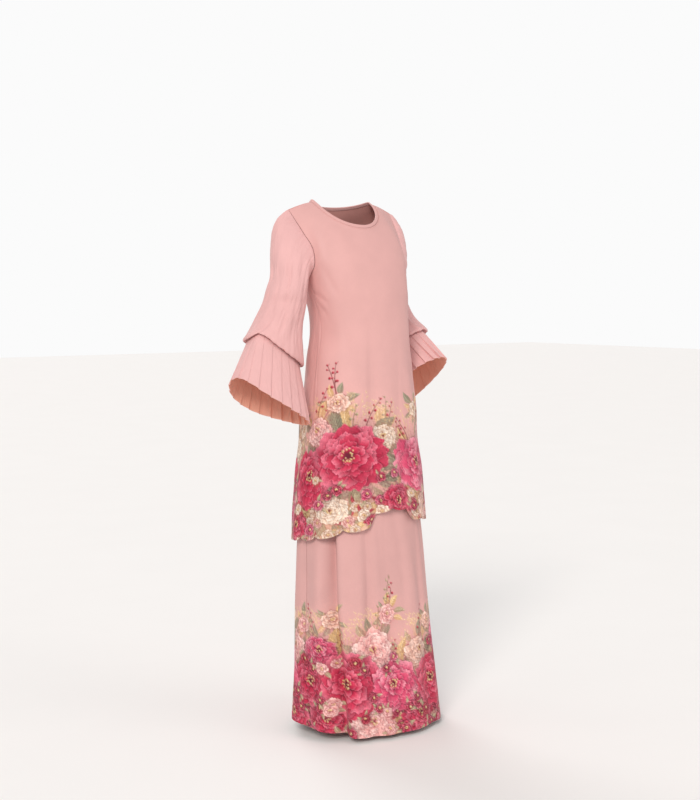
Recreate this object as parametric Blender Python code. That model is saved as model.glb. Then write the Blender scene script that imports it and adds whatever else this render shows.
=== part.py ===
"""A baju kurung set as it hangs when worn: a long tunic with two-tier sleeves over a long skirt.

Units are metres and +Z is up. The front faces -Y and the wearer's right is -X. The origin lies
midway between the shoulder seams, at the level where the shoulders carry the tunic. Each sewn
piece is one cloth wall, open where the garment is open, and the pieces stand a seam gap apart.
Angles round the body are in degrees: 0 is the front, 90 the wearer's left, 180 the back.
"""

from collections import namedtuple
from math import copysign, cos, exp, pi, radians, sin

import bpy
import numpy as np

# Cloth
BODY_WALL = 0.0020
SLEEVE_WALL = 0.0018
FLOUNCE_WALL = 0.0015
SEAM_GAP = 0.0004
ARMHOLE_GAP = 0.0006
FLOUNCE_GAP = 0.0004
ROUNDNESS = 2.25              # exponent of the rings: 2 is an ellipse, more is squarer

# Tunic
UNDERARM_HEIGHT = -0.190      # below this the tunic is made of level rings
NECK_POINT_HEIGHT = 0.010     # of the inner ends of the shoulder seams
NECK_HALF_WIDTH = 0.098
NECK_FRONT_DROP = 0.074
NECK_FRONT_REACH = 0.088
NECK_BACK_DROP = 0.024
NECK_BACK_REACH = 0.060
SHOULDER_TIP = (0.162, 0.008, -0.017)
BINDING_WIDTH = 0.009
BINDING_GAP = 0.0008
BINDING_THICKNESS = 0.003
BINDING_ROUNDING = 0.0015     # width of its rounded corners
BINDING_CROWN = 0.0006        # how far it stands above the cloth
BINDING_EDGE_DROP = 0.0008    # how far its free edge turns down
SIDE_SEAM_TOP_ANGLE = 86.5    # where the side panels' seams leave the underarm
SIDE_SEAM_HEM_ANGLE = 72.0    # and where they reach the hem, so the side panels flare
SIDE_SEAM_CURVE = 1.4         # above 1 the flare comes late

# Skirt
WAIST_HEIGHT = -0.3725
WAISTBAND_DEPTH = 0.030
WAISTBAND_THICKNESS = 0.003
WAISTBAND_OUTSET = 0.0005

# Sleeves
LIP_RADIUS = 0.006            # roundness of the upper tier's turned-under edge
LIP_INSET = 0.011             # how far inside the edge the flounce is sewn on
LIP_RISE = 0.013              # and how far above it
LIP_TURN = 0.7                # how sharply it turns under
HEAD_FULLNESS = {"right": 1.15, "left": 0.85}     # how far the sleeve heads stand out
HEAD_OUT = 0.62               # and their direction there: away from the body,
HEAD_FORWARD = 0.20           # forward at the front and back at the back,
HEAD_RISE = 0.62              # and up at the shoulder and down under the arm,
HEAD_SINK = 0.30              # less this much all round
UNDERARM_LIFT = 0.7           # share of the armhole gap by which the sleeve clears the underarm
PLEATS_PER_FLOUNCE = 22
PLEAT_DEPTH_AT_HEM = 0.0075
PLEAT_DEPTH_AT_SEAM = 0.0015
PLEAT_SHARE_AT_LIP = 0.12     # share of the pleats' growth that is reached at the lip
PLEAT_TOP_START = 0.10        # where in its pleat the visible fold starts
PLEAT_TOP_END = 0.92          # and ends, before the cloth turns back
FLOUNCE_SEAM_DROP = 0.001     # how far the flounce's seam lies below the end of the lip
FLOUNCE_LIP_CLEARANCE = 0.0005

# How many steps each stretch of cloth is modelled in
ARMHOLE_STEPS = 8
SHOULDER_STEPS = 5
UNDERARM_STEPS = 3
BODY_ROWS = 12
SKIRT_ROWS = 15
SKIRT_FRONT_STEPS = 27
SKIRT_BACK_STEPS = 24
WAISTBAND_STEPS = 32
SLEEVE_ROWS = (4, 2, 2, 3)
FLOUNCE_ROWS = (1, 5)
POINTS_PER_PLEAT = 3
CURVE_STEPS = 12              # between two key points, when a curve's length is measured

Section = namedtuple("Section", "height centre_x centre_y half_width half_depth")
TUNIC_SECTIONS = (
    Section(-0.120, 0.006, -0.018, 0.146, 0.102),
    Section(-0.190, 0.011, -0.031, 0.145, 0.111),
    Section(-0.225, 0.015, -0.037, 0.141, 0.111),
    Section(-0.270, 0.020, -0.044, 0.134, 0.106),
    Section(-0.330, 0.022, -0.047, 0.134, 0.105),
    Section(-0.400, 0.021, -0.047, 0.142, 0.111),
    Section(-0.500, 0.020, -0.046, 0.154, 0.120),
    Section(-0.600, 0.020, -0.046, 0.164, 0.128),
    Section(-0.680, 0.020, -0.046, 0.173, 0.135),
    Section(-0.760, 0.020, -0.047, 0.181, 0.142),
    Section(-0.880, 0.020, -0.048, 0.188, 0.148),
)
SKIRT_SECTIONS = (
    Section(-0.340, 0.020, -0.044, 0.112, 0.084),
    Section(-0.380, 0.020, -0.044, 0.112, 0.084),
    Section(-0.460, 0.020, -0.045, 0.134, 0.100),
    Section(-0.560, 0.020, -0.046, 0.148, 0.110),
    Section(-0.700, 0.020, -0.047, 0.158, 0.120),
    Section(-0.800, 0.020, -0.049, 0.167, 0.127),
    Section(-0.885, 0.021, -0.050, 0.176, 0.136),
    Section(-1.010, 0.023, -0.053, 0.184, 0.143),
    Section(-1.115, 0.025, -0.057, 0.190, 0.147),
    Section(-1.220, 0.028, -0.062, 0.199, 0.154),
    Section(-1.350, 0.032, -0.067, 0.211, 0.164),
)

# Folds: grooves that fade in from their top. A lean of 1 or -1 makes the side towards higher
# or lower angles steep, as where one stretch of cloth falls over the next.
FOLD_GROWTH_LENGTH = 0.45     # from its top, until a fold has its full depth
FOLD_SOFT_SHARE = 0.75        # of its width, on its soft sides
FOLD_STEEP_SHARE = 0.28       # and on a steep one
Fold = namedtuple("Fold", "angle width depth top lean")
TUNIC_FOLDS = (
    Fold(-50, 13, 0.0050, -0.45, 0),
    Fold(-14, 11, 0.0075, -0.27, -1),
    Fold(12, 11, 0.0065, -0.34, 1),
    Fold(44, 12, 0.0050, -0.40, 0),
    Fold(-74, 10, 0.0040, -0.50, 0),
    Fold(112, 13, 0.0060, -0.45, 0),
    Fold(142, 14, 0.0075, -0.38, 1),
    Fold(176, 15, 0.0080, -0.32, 0),
    Fold(-148, 14, 0.0070, -0.38, -1),
    Fold(-114, 12, 0.0060, -0.45, 0),
)
SKIRT_FOLDS = (
    Fold(-84, 13, 0.0070, -0.75, 0),
    Fold(-46, 17, 0.0170, -0.60, 1),
    Fold(-24, 10, 0.0060, -0.70, 0),
    Fold(-4, 12, 0.0080, -0.70, -1),
    Fold(30, 13, 0.0080, -0.72, 1),
    Fold(62, 12, 0.0065, -0.75, 0),
    Fold(112, 14, 0.0090, -0.70, -1),
    Fold(146, 14, 0.0110, -0.62, 0),
    Fold(180, 15, 0.0100, -0.66, 1),
    Fold(-146, 14, 0.0110, -0.62, 0),
    Fold(-114, 12, 0.0080, -0.74, 1),
)

# Hem lines: the height at each angle, before the tunic's scallops
HemPoint = namedtuple("HemPoint", "angle height")
TUNIC_HEM = (
    HemPoint(-180, -0.856), HemPoint(-122, -0.855), HemPoint(-72, -0.836), HemPoint(-43, -0.816),
    HemPoint(-17, -0.806), HemPoint(-12.7, -0.774), HemPoint(0, -0.769), HemPoint(13, -0.774),
    HemPoint(18, -0.797), HemPoint(45, -0.806), HemPoint(72, -0.816), HemPoint(108, -0.834),
    HemPoint(180, -0.856),
)
SKIRT_HEM = (
    HemPoint(-180, -1.324), HemPoint(-120, -1.314), HemPoint(-88, -1.322), HemPoint(-50, -1.331),
    HemPoint(-40, -1.338), HemPoint(0, -1.339), HemPoint(60, -1.336), HemPoint(120, -1.330),
    HemPoint(180, -1.324),
)

# Scallops: where each one ends, and how many steps it is modelled in
Scallop = namedtuple("Scallop", "end_angle steps")
FRONT_SCALLOPS = (
    Scallop(-43, 8), Scallop(-17, 6), Scallop(0, 4),
    Scallop(13, 4), Scallop(32, 4), Scallop(52, 5), Scallop(72, 5),
)
BACK_SCALLOPS = (
    Scallop(-52, 4), Scallop(-34, 4), Scallop(-17, 4), Scallop(0, 5),
    Scallop(17, 5), Scallop(34, 4), Scallop(52, 4), Scallop(72, 4),
)
SCALLOP_DEPTH = 0.012         # of a scallop of the widest kind
WIDEST_SCALLOP = 28.0
SCALLOP_SHAPE = 0.6           # under 1 makes the scallops full and their meeting points sharp
SIDE_SCALLOP_SHARE = 0.8      # depth of the side panels' scallops
SCALLOPS_PER_SIDE = 2

# Armholes, between the shoulder tip and the underarm, given for the wearer's left
Point = namedtuple("Point", "x y z")
ARMHOLE_FRONT = (Point(0.152, -0.034, -0.076), Point(0.141, -0.060, -0.116),
                 Point(0.142, -0.066, -0.158))
ARMHOLE_BACK = (Point(0.157, 0.036, -0.074), Point(0.151, 0.047, -0.116),
                Point(0.146, 0.036, -0.158))

# How the cloth falls away from the top edge of the front and back panels: x is away from the
# middle, so the columns fan out below the neckline.
Fall = namedtuple("Fall", "centre neck tip")
FRONT_FALL = Fall(centre=(0, -0.48, -0.88), neck=(0.25, -0.74, -0.60), tip=(-0.05, -0.60, -0.80))
BACK_FALL = Fall(centre=(0, 0.38, -0.92), neck=(0.25, 0.72, -0.62), tip=(-0.05, 0.55, -0.83))
FALL_STRENGTH = 1.1           # how long the cloth keeps to these directions
ARMHOLE_PULL = 2.0            # how soon the armhole's shape dies out towards the middle
EASING_PASSES = 10            # how far the corner at the neck point is eased out of the cloth

# Sleeve rings from below the armhole to the turned-under edge, then the flounce's hem ring.
# Each is an oval: its centre, its half axis away from the body and its half axis to the front.
SleeveRing = namedtuple("SleeveRing", "centre out front")
SLEEVE_RINGS = {
    "right": (
        SleeveRing((-0.194, -0.036, -0.205), (-0.047, 0.000, 0.008), (0.000, -0.055, 0.000)),
        SleeveRing((-0.201, -0.028, -0.258), (-0.053, 0.000, 0.008), (0.000, -0.056, 0.000)),
        SleeveRing((-0.210, -0.014, -0.312), (-0.062, -0.002, 0.016), (0.000, -0.058, 0.000)),
        SleeveRing((-0.221, -0.008, -0.371), (-0.082, -0.006, 0.032), (0.000, -0.064, -0.002)),
    ),
    "left": (
        SleeveRing((0.197, 0.072, -0.205), (0.046, 0.010, 0.008), (0.010, -0.052, 0.000)),
        SleeveRing((0.208, 0.074, -0.258), (0.053, 0.006, 0.008), (0.006, -0.058, 0.000)),
        SleeveRing((0.217, 0.062, -0.306), (0.058, 0.002, 0.008), (0.002, -0.068, 0.008)),
        SleeveRing((0.226, 0.040, -0.350), (0.064, 0.000, 0.008), (0.000, -0.080, 0.018)),
    ),
}
FLOUNCE_HEMS = {
    "right": SleeveRing((-0.264, -0.052, -0.505), (-0.103, 0.008, 0.054), (0.006, -0.066, 0.004)),
    "left": SleeveRing((0.242, -0.008, -0.462), (0.062, 0.000, 0.002), (-0.004, -0.112, 0.068)),
}

# The forearm lifts these edges where it comes out, and the cloth sags between
Lift = namedtuple("Lift", "angle width rise")
TIER_LIFTS = {"right": (Lift(42, 34, 0.026), Lift(150, 40, -0.006)), "left": (Lift(80, 35, 0.012),)}
FLOUNCE_LIFTS = {"right": (Lift(18, 40, 0.022), Lift(285, 55, -0.016)),
                 "left": (Lift(300, 50, -0.016),)}

# Colours (linear) and finish of each cloth
Cloth = namedtuple("Cloth", "name colour roughness")
SATIN = Cloth("dusty pink satin", (0.80, 0.47, 0.42), 0.55)
CHIFFON = Cloth("dusty pink chiffon", (0.83, 0.50, 0.46), 0.70)


def clear_scene():
    """Remove the objects that the file opened with."""
    for old in list(bpy.data.objects):
        bpy.data.objects.remove(old, do_unlink=True)


def unit(vectors):
    """Vectors scaled to length 1 along the last axis."""
    vectors = np.asarray(vectors, dtype=float)
    return vectors / np.linalg.norm(vectors, axis=-1, keepdims=True)


def hermite(start, end, start_slope, end_slope, share):
    """Point at a share of the way along a cubic with the given ends and end slopes."""
    t2 = share * share
    t3 = t2 * share
    return ((2 * t3 - 3 * t2 + 1) * start + (t3 - 2 * t2 + share) * start_slope
            + (3 * t2 - 2 * t3) * end + (t3 - t2) * end_slope)


def loft(rings, steps, first_slope=None):
    """Rows of points on smooth curves through the given rings, with steps rows per span."""
    rings = [np.asarray(ring, dtype=float) for ring in rings]
    slopes = [rings[1] - rings[0] if first_slope is None else first_slope]
    slopes += [(after - before) / 2 for before, after in zip(rings, rings[2:])]
    slopes.append(rings[-1] - rings[-2])
    rows = [rings[0]]
    for i, count in enumerate(steps):
        for step in range(1, count + 1):
            rows.append(hermite(rings[i], rings[i + 1], slopes[i], slopes[i + 1], step / count))
    return rows


def curve_points(keys, steps):
    """Evenly spaced points on a smooth curve through a few key points."""
    fine = np.array(loft([np.array(key) for key in keys], [CURVE_STEPS] * (len(keys) - 1)))
    lengths = np.concatenate(([0.0], np.cumsum(np.linalg.norm(np.diff(fine, axis=0), axis=1))))
    wanted = np.linspace(0.0, lengths[-1], steps + 1)
    return np.stack([np.interp(wanted, lengths, fine[:, axis]) for axis in range(3)], axis=1)


def section_at(sections, height):
    """The ring at a height, eased between the table's rows."""
    rows = np.array(sections)
    depths = -rows[:, 0]
    depth = min(max(-height, depths[0]), depths[-1])
    slopes = np.gradient(rows, depths, axis=0)
    i = min(int(np.searchsorted(depths, depth, side="right")) - 1, len(depths) - 2)
    span = depths[i + 1] - depths[i]
    share = (depth - depths[i]) / span
    return Section(*hermite(rows[i], rows[i + 1], slopes[i] * span, slopes[i + 1] * span, share))


def signed_power(value, power):
    """The power of a number's size, with the number's sign."""
    return copysign(abs(value) ** power, value)


def turn_between(angle, other):
    """The smallest signed turn from one angle to another, in degrees."""
    return (angle - other + 180.0) % 360.0 - 180.0


def fold_depth(folds, angle, height):
    """How far the folds draw the cloth in at an angle (taken at the hem) and a height."""
    total = 0.0
    for fold in folds:
        if height >= fold.top:
            continue
        turn = turn_between(angle, fold.angle)
        steep = turn * fold.lean > 0
        width = fold.width * (FOLD_STEEP_SHARE if steep else FOLD_SOFT_SHARE)
        growth = min((fold.top - height) / FOLD_GROWTH_LENGTH, 1.0)
        total += fold.depth * growth * (2 - growth) * exp(-(turn / width) ** 2)
    return total


def ring_point(sections, folds, height, angle, hem_angle):
    """Point of the cloth at a height and an angle; its column reaches the hem at hem_angle."""
    ring = section_at(sections, height)
    across = signed_power(sin(radians(angle)), 2 / ROUNDNESS)
    ahead = signed_power(cos(radians(angle)), 2 / ROUNDNESS)
    offset = np.array((ring.half_width * across, -ring.half_depth * ahead))
    size = np.linalg.norm(offset)
    offset *= (size - fold_depth(folds, hem_angle, height)) / size
    return np.array((ring.centre_x + offset[0], ring.centre_y + offset[1], height))


def hem_height(hem, angle):
    """Height of a hem line at an angle."""
    return float(np.interp(turn_between(angle, 0.0), [p.angle for p in hem], [p.height for p in hem]))


def scallop_drop(share):
    """How far a scallop of depth 1 hangs at a share of its width."""
    return (1 - (2 * share - 1) ** 2) ** SCALLOP_SHAPE


def scallop_columns(scallops, half_angle):
    """Hem angles of a panel's columns, and how far its scallops drop at each."""
    angles = [-half_angle]
    drops = [0.0]
    start = -half_angle
    for scallop in scallops:
        width = scallop.end_angle - start
        depth = SCALLOP_DEPTH * min(width / WIDEST_SCALLOP, 1.0)
        for step in range(1, scallop.steps + 1):
            share = step / scallop.steps
            angles.append(start + width * share)
            drops.append(depth * scallop_drop(share))
        start = scallop.end_angle
    return angles, drops


def wall_directions(grid, closed):
    """Outward unit direction at each point of a grid whose rows run down the garment."""
    if closed:
        along = np.roll(grid, -1, axis=1) - np.roll(grid, 1, axis=1)
    else:
        along = np.gradient(grid, axis=1)
    down = np.gradient(grid, axis=0)
    return unit(np.cross(down, along))


def wall_mesh(name, grid, thickness, cloth, closed=False, directions=None):
    """One closed cloth wall: the grid is its outer face and the inner face lies thickness in.

    Rows run down the garment and columns towards the wearer's left at the front.
    """
    grid = np.asarray(grid, dtype=float)
    if directions is None:
        directions = wall_directions(grid, closed)
    inner = grid - thickness * directions
    row_count, column_count = grid.shape[:2]
    points = np.concatenate((grid.reshape(-1, 3), inner.reshape(-1, 3)))
    inside = row_count * column_count
    spans = column_count if closed else column_count - 1

    def index(row, column):
        return row * column_count + column % column_count

    faces = []
    for row in range(row_count - 1):
        for column in range(spans):
            quad = (index(row, column), index(row + 1, column),
                    index(row + 1, column + 1), index(row, column + 1))
            faces.append(quad)
            faces.append(tuple(inside + corner for corner in reversed(quad)))
    for column in range(spans):
        top = (index(0, column), index(0, column + 1))
        bottom = (index(row_count - 1, column + 1), index(row_count - 1, column))
        for a, b in (top, bottom):
            faces.append((a, b, inside + b, inside + a))
    if not closed:
        for row in range(row_count - 1):
            first = (index(row + 1, 0), index(row, 0))
            last = (index(row, column_count - 1), index(row + 1, column_count - 1))
            for a, b in (first, last):
                faces.append((a, b, inside + b, inside + a))
    return add_object(name, points, faces, cloth)


def band_mesh(name, loops, cloth):
    """A closed band swept round a ring: each loop holds one corner of its section."""
    count = len(loops[0])
    points = np.concatenate(loops)
    faces = []
    for i in range(len(loops)):
        following = (i + 1) % len(loops)
        for k in range(count):
            after = (k + 1) % count
            faces.append((i * count + k, i * count + after,
                          following * count + after, following * count + k))
    return add_object(name, points, faces, cloth)


def add_object(name, points, faces, cloth):
    """A named mesh object with its own cloth material."""
    mesh = bpy.data.meshes.new(name)
    mesh.from_pydata([tuple(point) for point in points], [], faces)
    mesh.update()
    mesh.shade_smooth()
    piece = bpy.data.objects.new(name, mesh)
    bpy.context.scene.collection.objects.link(piece)
    material = bpy.data.materials.new(name + " " + cloth.name)
    material.use_nodes = True
    shader = material.node_tree.nodes["Principled BSDF"]
    shader.inputs["Base Color"].default_value = (*cloth.colour, 1.0)
    shader.inputs["Roughness"].default_value = cloth.roughness
    shader.inputs["Metallic"].default_value = 0.0
    mesh.materials.append(material)
    return piece


# --- Tunic: top edges -----------------------------------------------------------------

def side_seam_angle(height):
    """Angle of the front seam of the left side panel at a height."""
    top, hem = UNDERARM_HEIGHT, TUNIC_SECTIONS[-1].height
    share = min(max((top - height) / (top - hem), 0.0), 1.0)
    return SIDE_SEAM_TOP_ANGLE + (SIDE_SEAM_HEM_ANGLE - SIDE_SEAM_TOP_ANGLE) * share ** SIDE_SEAM_CURVE


def seam_turn():
    """Turn that leaves half a seam gap at the hem's radius, in degrees."""
    return np.degrees(SEAM_GAP / 2 / TUNIC_SECTIONS[-1].half_depth)


def neck_steps(is_front):
    """Steps of half a neckline, so that a panel has as many columns there as at its hem."""
    scallops = FRONT_SCALLOPS if is_front else BACK_SCALLOPS
    return sum(scallop.steps for scallop in scallops) // 2 - SHOULDER_STEPS


def neckline(side, is_front):
    """Points from a shoulder-neck point round to the centre front or centre back."""
    drop, reach = ((NECK_FRONT_DROP, -NECK_FRONT_REACH) if is_front
                   else (NECK_BACK_DROP, NECK_BACK_REACH))
    turns = np.linspace(0.0, pi / 2, neck_steps(is_front) + 1)
    return np.stack((side * NECK_HALF_WIDTH * np.cos(turns), reach * np.sin(turns),
                     NECK_POINT_HEIGHT - drop * np.sin(turns)), axis=1)


def shoulder_line(side):
    """Points from the shoulder tip up to the shoulder-neck point."""
    tip = np.array(SHOULDER_TIP) * (side, 1, 1)
    neck = np.array((side * NECK_HALF_WIDTH, 0.0, NECK_POINT_HEIGHT))
    return np.linspace(tip, neck, SHOULDER_STEPS + 1)


def underarm_point(side, is_front):
    """Top of the seam between a body panel and the side panel."""
    seam = side_seam_angle(UNDERARM_HEIGHT) - seam_turn()
    angle = side * (seam if is_front else 180.0 - seam)
    return ring_point(TUNIC_SECTIONS, TUNIC_FOLDS, UNDERARM_HEIGHT, angle, angle)


def armhole_line(side, is_front):
    """Points from the underarm up to the shoulder tip."""
    keys = [underarm_point(side, is_front)]
    for key in reversed(ARMHOLE_FRONT if is_front else ARMHOLE_BACK):
        lean = section_at(TUNIC_SECTIONS, key.z).centre_x
        keys.append(np.array((side * key.x + lean, key.y, key.z)))
    keys.append(np.array(SHOULDER_TIP) * (side, 1, 1))
    return curve_points(keys, ARMHOLE_STEPS)


def half_top_edge(side, is_front):
    """Top edge of half a panel from shoulder tip to its centre, and how the cloth falls there."""
    shoulder = shoulder_line(side)
    neck = neckline(side, is_front)
    half_gap = np.array((0.0, SEAM_GAP / 2 * (-1 if is_front else 1), 0.0))
    points = np.concatenate((shoulder[:-1] + half_gap, neck))
    points[SHOULDER_STEPS] += half_gap
    fall = FRONT_FALL if is_front else BACK_FALL
    falls = np.concatenate((np.linspace(fall.tip, fall.neck, SHOULDER_STEPS + 1),
                            np.linspace(fall.neck, fall.centre, len(neck))[1:]))
    return points, unit(falls) * (side, 1.0, 1.0)


def panel_top_edge(is_front):
    """Top edge of a whole panel, in the order of its columns, and the cloth's fall there.

    Front columns run from the wearer's right to the left, back columns the other way, so
    that both turn the same way round the body.
    """
    first_side = -1 if is_front else 1
    first_points, first_falls = half_top_edge(first_side, is_front)
    second_points, second_falls = half_top_edge(-first_side, is_front)
    points = np.concatenate((first_points, second_points[::-1][1:]))
    falls = np.concatenate((first_falls, second_falls[::-1][1:]))
    return points, falls


# --- Tunic: panels --------------------------------------------------------------------

def column_below_underarm(body_angle, hem_angle, drop):
    """Points of a tunic column from the underarm down; body_angle gives its angle at a height."""
    hem = hem_height(TUNIC_HEM, hem_angle) - drop
    heights = np.linspace(UNDERARM_HEIGHT, hem, BODY_ROWS + 1)
    return [ring_point(TUNIC_SECTIONS, TUNIC_FOLDS, z, body_angle(z), hem_angle) for z in heights]


def column_above_underarm(top, fall, below):
    """Points of a tunic column from its top edge on, easing into the rings below."""
    reach = np.linalg.norm(below[0] - top)
    end_slope = unit(below[1] - below[0]) * reach
    shares = np.linspace(0.0, 1.0, ARMHOLE_STEPS + 1)[:-1]
    start_slope = fall * reach * FALL_STRENGTH
    return [hermite(top, below[0], start_slope, end_slope, share) for share in shares]


def draw_to_armholes(columns, is_front):
    """Move the rows above the underarm so that they end on the armholes."""
    first_side = -1 if is_front else 1
    middle = len(columns) // 2
    for side, order in ((first_side, columns), (-first_side, columns[::-1])):
        edge = armhole_line(side, is_front)[::-1]
        edge[0] = order[0][0]
        pull = [edge[row] - order[0][row] for row in range(ARMHOLE_STEPS)]
        for place, column in enumerate(order[:middle]):
            weight = (1 - place / middle) ** ARMHOLE_PULL
            for row in range(ARMHOLE_STEPS):
                column[row] = column[row] + pull[row] * weight


def body_panel_grid(is_front):
    """Outer face of the front or back panel, row by row."""
    scallops = FRONT_SCALLOPS if is_front else BACK_SCALLOPS
    angles, drops = scallop_columns(scallops, SIDE_SEAM_HEM_ANGLE)
    tops, falls = panel_top_edge(is_front)
    columns = []
    for angle, drop, top, fall in zip(angles, drops, tops, falls):
        share = angle / SIDE_SEAM_HEM_ANGLE

        def body_angle(height, share=share):
            turn = share * (side_seam_angle(height) - seam_turn())
            return turn if is_front else 180.0 + turn

        hem_angle = angle if is_front else 180.0 + angle
        below = column_below_underarm(body_angle, hem_angle, drop)
        columns.append(column_above_underarm(top, fall, below) + below)
    draw_to_armholes(columns, is_front)
    grid = np.array(columns).transpose(1, 0, 2)
    for _ in range(EASING_PASSES):
        yoke = grid[1:ARMHOLE_STEPS]
        yoke[:, 1:-1] = (yoke[:, :-2] + 2 * yoke[:, 1:-1] + yoke[:, 2:]) / 4
    return grid


def body_panel_directions(grid):
    """Wall directions of a body panel, upright at its shoulder seams, where two panels meet."""
    directions = wall_directions(grid, closed=False)
    last = grid.shape[1] - 1
    for step in range(SHOULDER_STEPS + 1):
        for column in (step, last - step):
            directions[0, column] = unit(directions[0, column] * (1.0, 0.0, 1.0))
    return directions


def join_walls(body_directions, column, side_directions, side_column):
    """Give a body panel and a side panel the same wall direction along the seam between them."""
    shared = unit(body_directions[ARMHOLE_STEPS:, column] + side_directions[:, side_column])
    body_directions[ARMHOLE_STEPS:, column] = shared
    side_directions[:, side_column] = shared


def side_panel_grid(side):
    """Outer face of a side panel: its columns go on round the body from the front panel's."""
    columns = []
    for share in np.linspace(0.0, 1.0, UNDERARM_STEPS + 1):

        def body_angle(height, share=share):
            seam = side_seam_angle(height) + seam_turn()
            return side * (seam + (180.0 - 2 * seam) * share)

        hem_angle = side * (SIDE_SEAM_HEM_ANGLE + (180.0 - 2 * SIDE_SEAM_HEM_ANGLE) * share)
        drop = SCALLOP_DEPTH * SIDE_SCALLOP_SHARE * scallop_drop(share * SCALLOPS_PER_SIDE % 1.0)
        columns.append(column_below_underarm(body_angle, hem_angle, drop))
    if side < 0:
        columns.reverse()
    return np.array(columns).transpose(1, 0, 2)


def make_tunic_body():
    """The four body panels and the neck binding; returns the side panels' grids by side."""
    front = body_panel_grid(True)
    back = body_panel_grid(False)
    sides = {side: side_panel_grid(side) for side in (-1, 1)}
    front_out = body_panel_directions(front)
    back_out = body_panel_directions(back)
    sides_out = {side: wall_directions(grid, closed=False) for side, grid in sides.items()}
    join_walls(front_out, 0, sides_out[-1], -1)
    join_walls(front_out, -1, sides_out[1], 0)
    join_walls(back_out, 0, sides_out[1], -1)
    join_walls(back_out, -1, sides_out[-1], 0)
    for name, grid, out in (("tunic_front", front, front_out), ("tunic_back", back, back_out),
                            ("tunic_side_right", sides[-1], sides_out[-1]),
                            ("tunic_side_left", sides[1], sides_out[1])):
        wall_mesh(name, grid, BODY_WALL, SATIN, directions=out)
    make_neck_binding(front, front_out, back, back_out)
    return sides


def make_neck_binding(front_grid, front_out, back_grid, back_out):
    """Narrow binding that goes on from the neckline of the front and back panels."""
    front = slice(SHOULDER_STEPS, front_grid.shape[1] - SHOULDER_STEPS)
    back = slice(SHOULDER_STEPS, back_grid.shape[1] - SHOULDER_STEPS)
    edge = np.concatenate((front_grid[0, front], back_grid[0, back][1:-1]))
    outward = np.concatenate((front_out[0, front], back_out[0, back][1:-1]))
    front_middle = neck_steps(True)
    for corner in (0, 2 * front_middle):
        outward[corner] = unit(outward[corner] * (1.0, 0.0, 1.0))
    along = unit(np.roll(edge, -1, axis=0) - np.roll(edge, 1, axis=0))
    inward = unit(np.cross(along, outward))
    if inward[front_middle][2] < 0:
        inward = -inward
    near, far = BINDING_GAP, BINDING_GAP + BINDING_WIDTH
    near_round, far_round = near + BINDING_ROUNDING, far - BINDING_ROUNDING
    section = ((near, 0.0), (near_round, BINDING_CROWN), (far_round, BINDING_CROWN),
               (far, -BINDING_EDGE_DROP), (far, BINDING_EDGE_DROP - BINDING_THICKNESS),
               (far_round, -BINDING_THICKNESS), (near_round, -BINDING_THICKNESS),
               (near, -BODY_WALL))
    loops = [edge + inward * reach + outward * height for reach, height in section]
    return band_mesh("neck_binding", loops, SATIN)


# --- Sleeves --------------------------------------------------------------------------

def armhole_loop(side, side_grid):
    """The whole armhole: down its front from the shoulder tip, under the arm and up its back."""
    front = armhole_line(side, True)[::-1]
    back = armhole_line(side, False)
    under = side_grid[0] if side > 0 else side_grid[0][::-1]
    return np.concatenate((front[:-1], under, back[1:-1]))


def oval(ring, turns):
    """Points of an oval ring at the given turns (radians from its outer end to the front)."""
    turns = np.asarray(turns)[:, None]
    return (np.array(ring.centre) + np.cos(turns) * np.array(ring.out)
            + np.sin(turns) * np.array(ring.front))


def sleeve_turns():
    """Where the points of an armhole loop lie round the sleeve, in radians."""
    count = 2 * ARMHOLE_STEPS + UNDERARM_STEPS
    return np.arange(count) * 2 * pi / count


def lifted(ring, turns, lifts):
    """A ring of points with parts of it raised or let down."""
    ring = ring.copy()
    for lift in lifts:
        offsets = [turn_between(np.degrees(turn), lift.angle) / lift.width for turn in turns]
        ring[:, 2] += lift.rise * np.exp(-np.square(offsets))
    return ring


def edge_ring(side_name):
    """The upper tier's lower edge: an oval, lifted where the forearm comes out."""
    turns = sleeve_turns()
    return lifted(oval(SLEEVE_RINGS[side_name][-1], turns), turns, TIER_LIFTS[side_name])


def upper_tier_rows(side_name, side, side_grid):
    """Rows of the upper tier from the armhole to its lower edge, as seen from outside."""
    turns = sleeve_turns()
    start = armhole_loop(side, side_grid) + np.array((side * ARMHOLE_GAP, 0.0, 0.0))
    start[:, 2] += ARMHOLE_GAP * UNDERARM_LIFT * np.clip(-np.cos(turns), 0.0, 1.0)
    rings = [start] + [oval(ring, turns) for ring in SLEEVE_RINGS[side_name][:-1]]
    rings.append(edge_ring(side_name))
    reach = np.linalg.norm(rings[1] - rings[0], axis=1, keepdims=True)
    leave = unit(np.stack((np.full(len(turns), side * HEAD_OUT), -HEAD_FORWARD * np.sin(turns),
                           HEAD_RISE * np.cos(turns) - HEAD_SINK), axis=1))
    return loft(rings, SLEEVE_ROWS, first_slope=leave * reach * HEAD_FULLNESS[side_name])


def lip_frame(rows):
    """At the lower edge: the way down along the cloth, and the way out of it."""
    down = unit(rows[-1] - rows[-2])
    along = np.roll(rows[-1], -1, axis=0) - np.roll(rows[-1], 1, axis=0)
    outward = unit(np.cross(along, down))
    if np.sum(outward * (rows[-1] - rows[-1].mean(axis=0))) < 0:
        outward = -outward
    return down, outward


def make_sleeve(side_name, side, side_grid):
    """Upper tier: from the armhole, full at the elbow, its lower edge turned under."""
    rows = upper_tier_rows(side_name, side, side_grid)
    down, outward = lip_frame(rows)
    edge = rows[-1]
    rows.append(edge + down * LIP_RADIUS - outward * LIP_RADIUS * LIP_TURN)
    rows.append(edge - down * LIP_RISE - outward * LIP_INSET)
    grid = np.array(rows)
    if side > 0:
        grid = grid[:, ::-1]
    return wall_mesh("sleeve_" + side_name, grid, SLEEVE_WALL, CHIFFON, closed=True)


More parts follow.
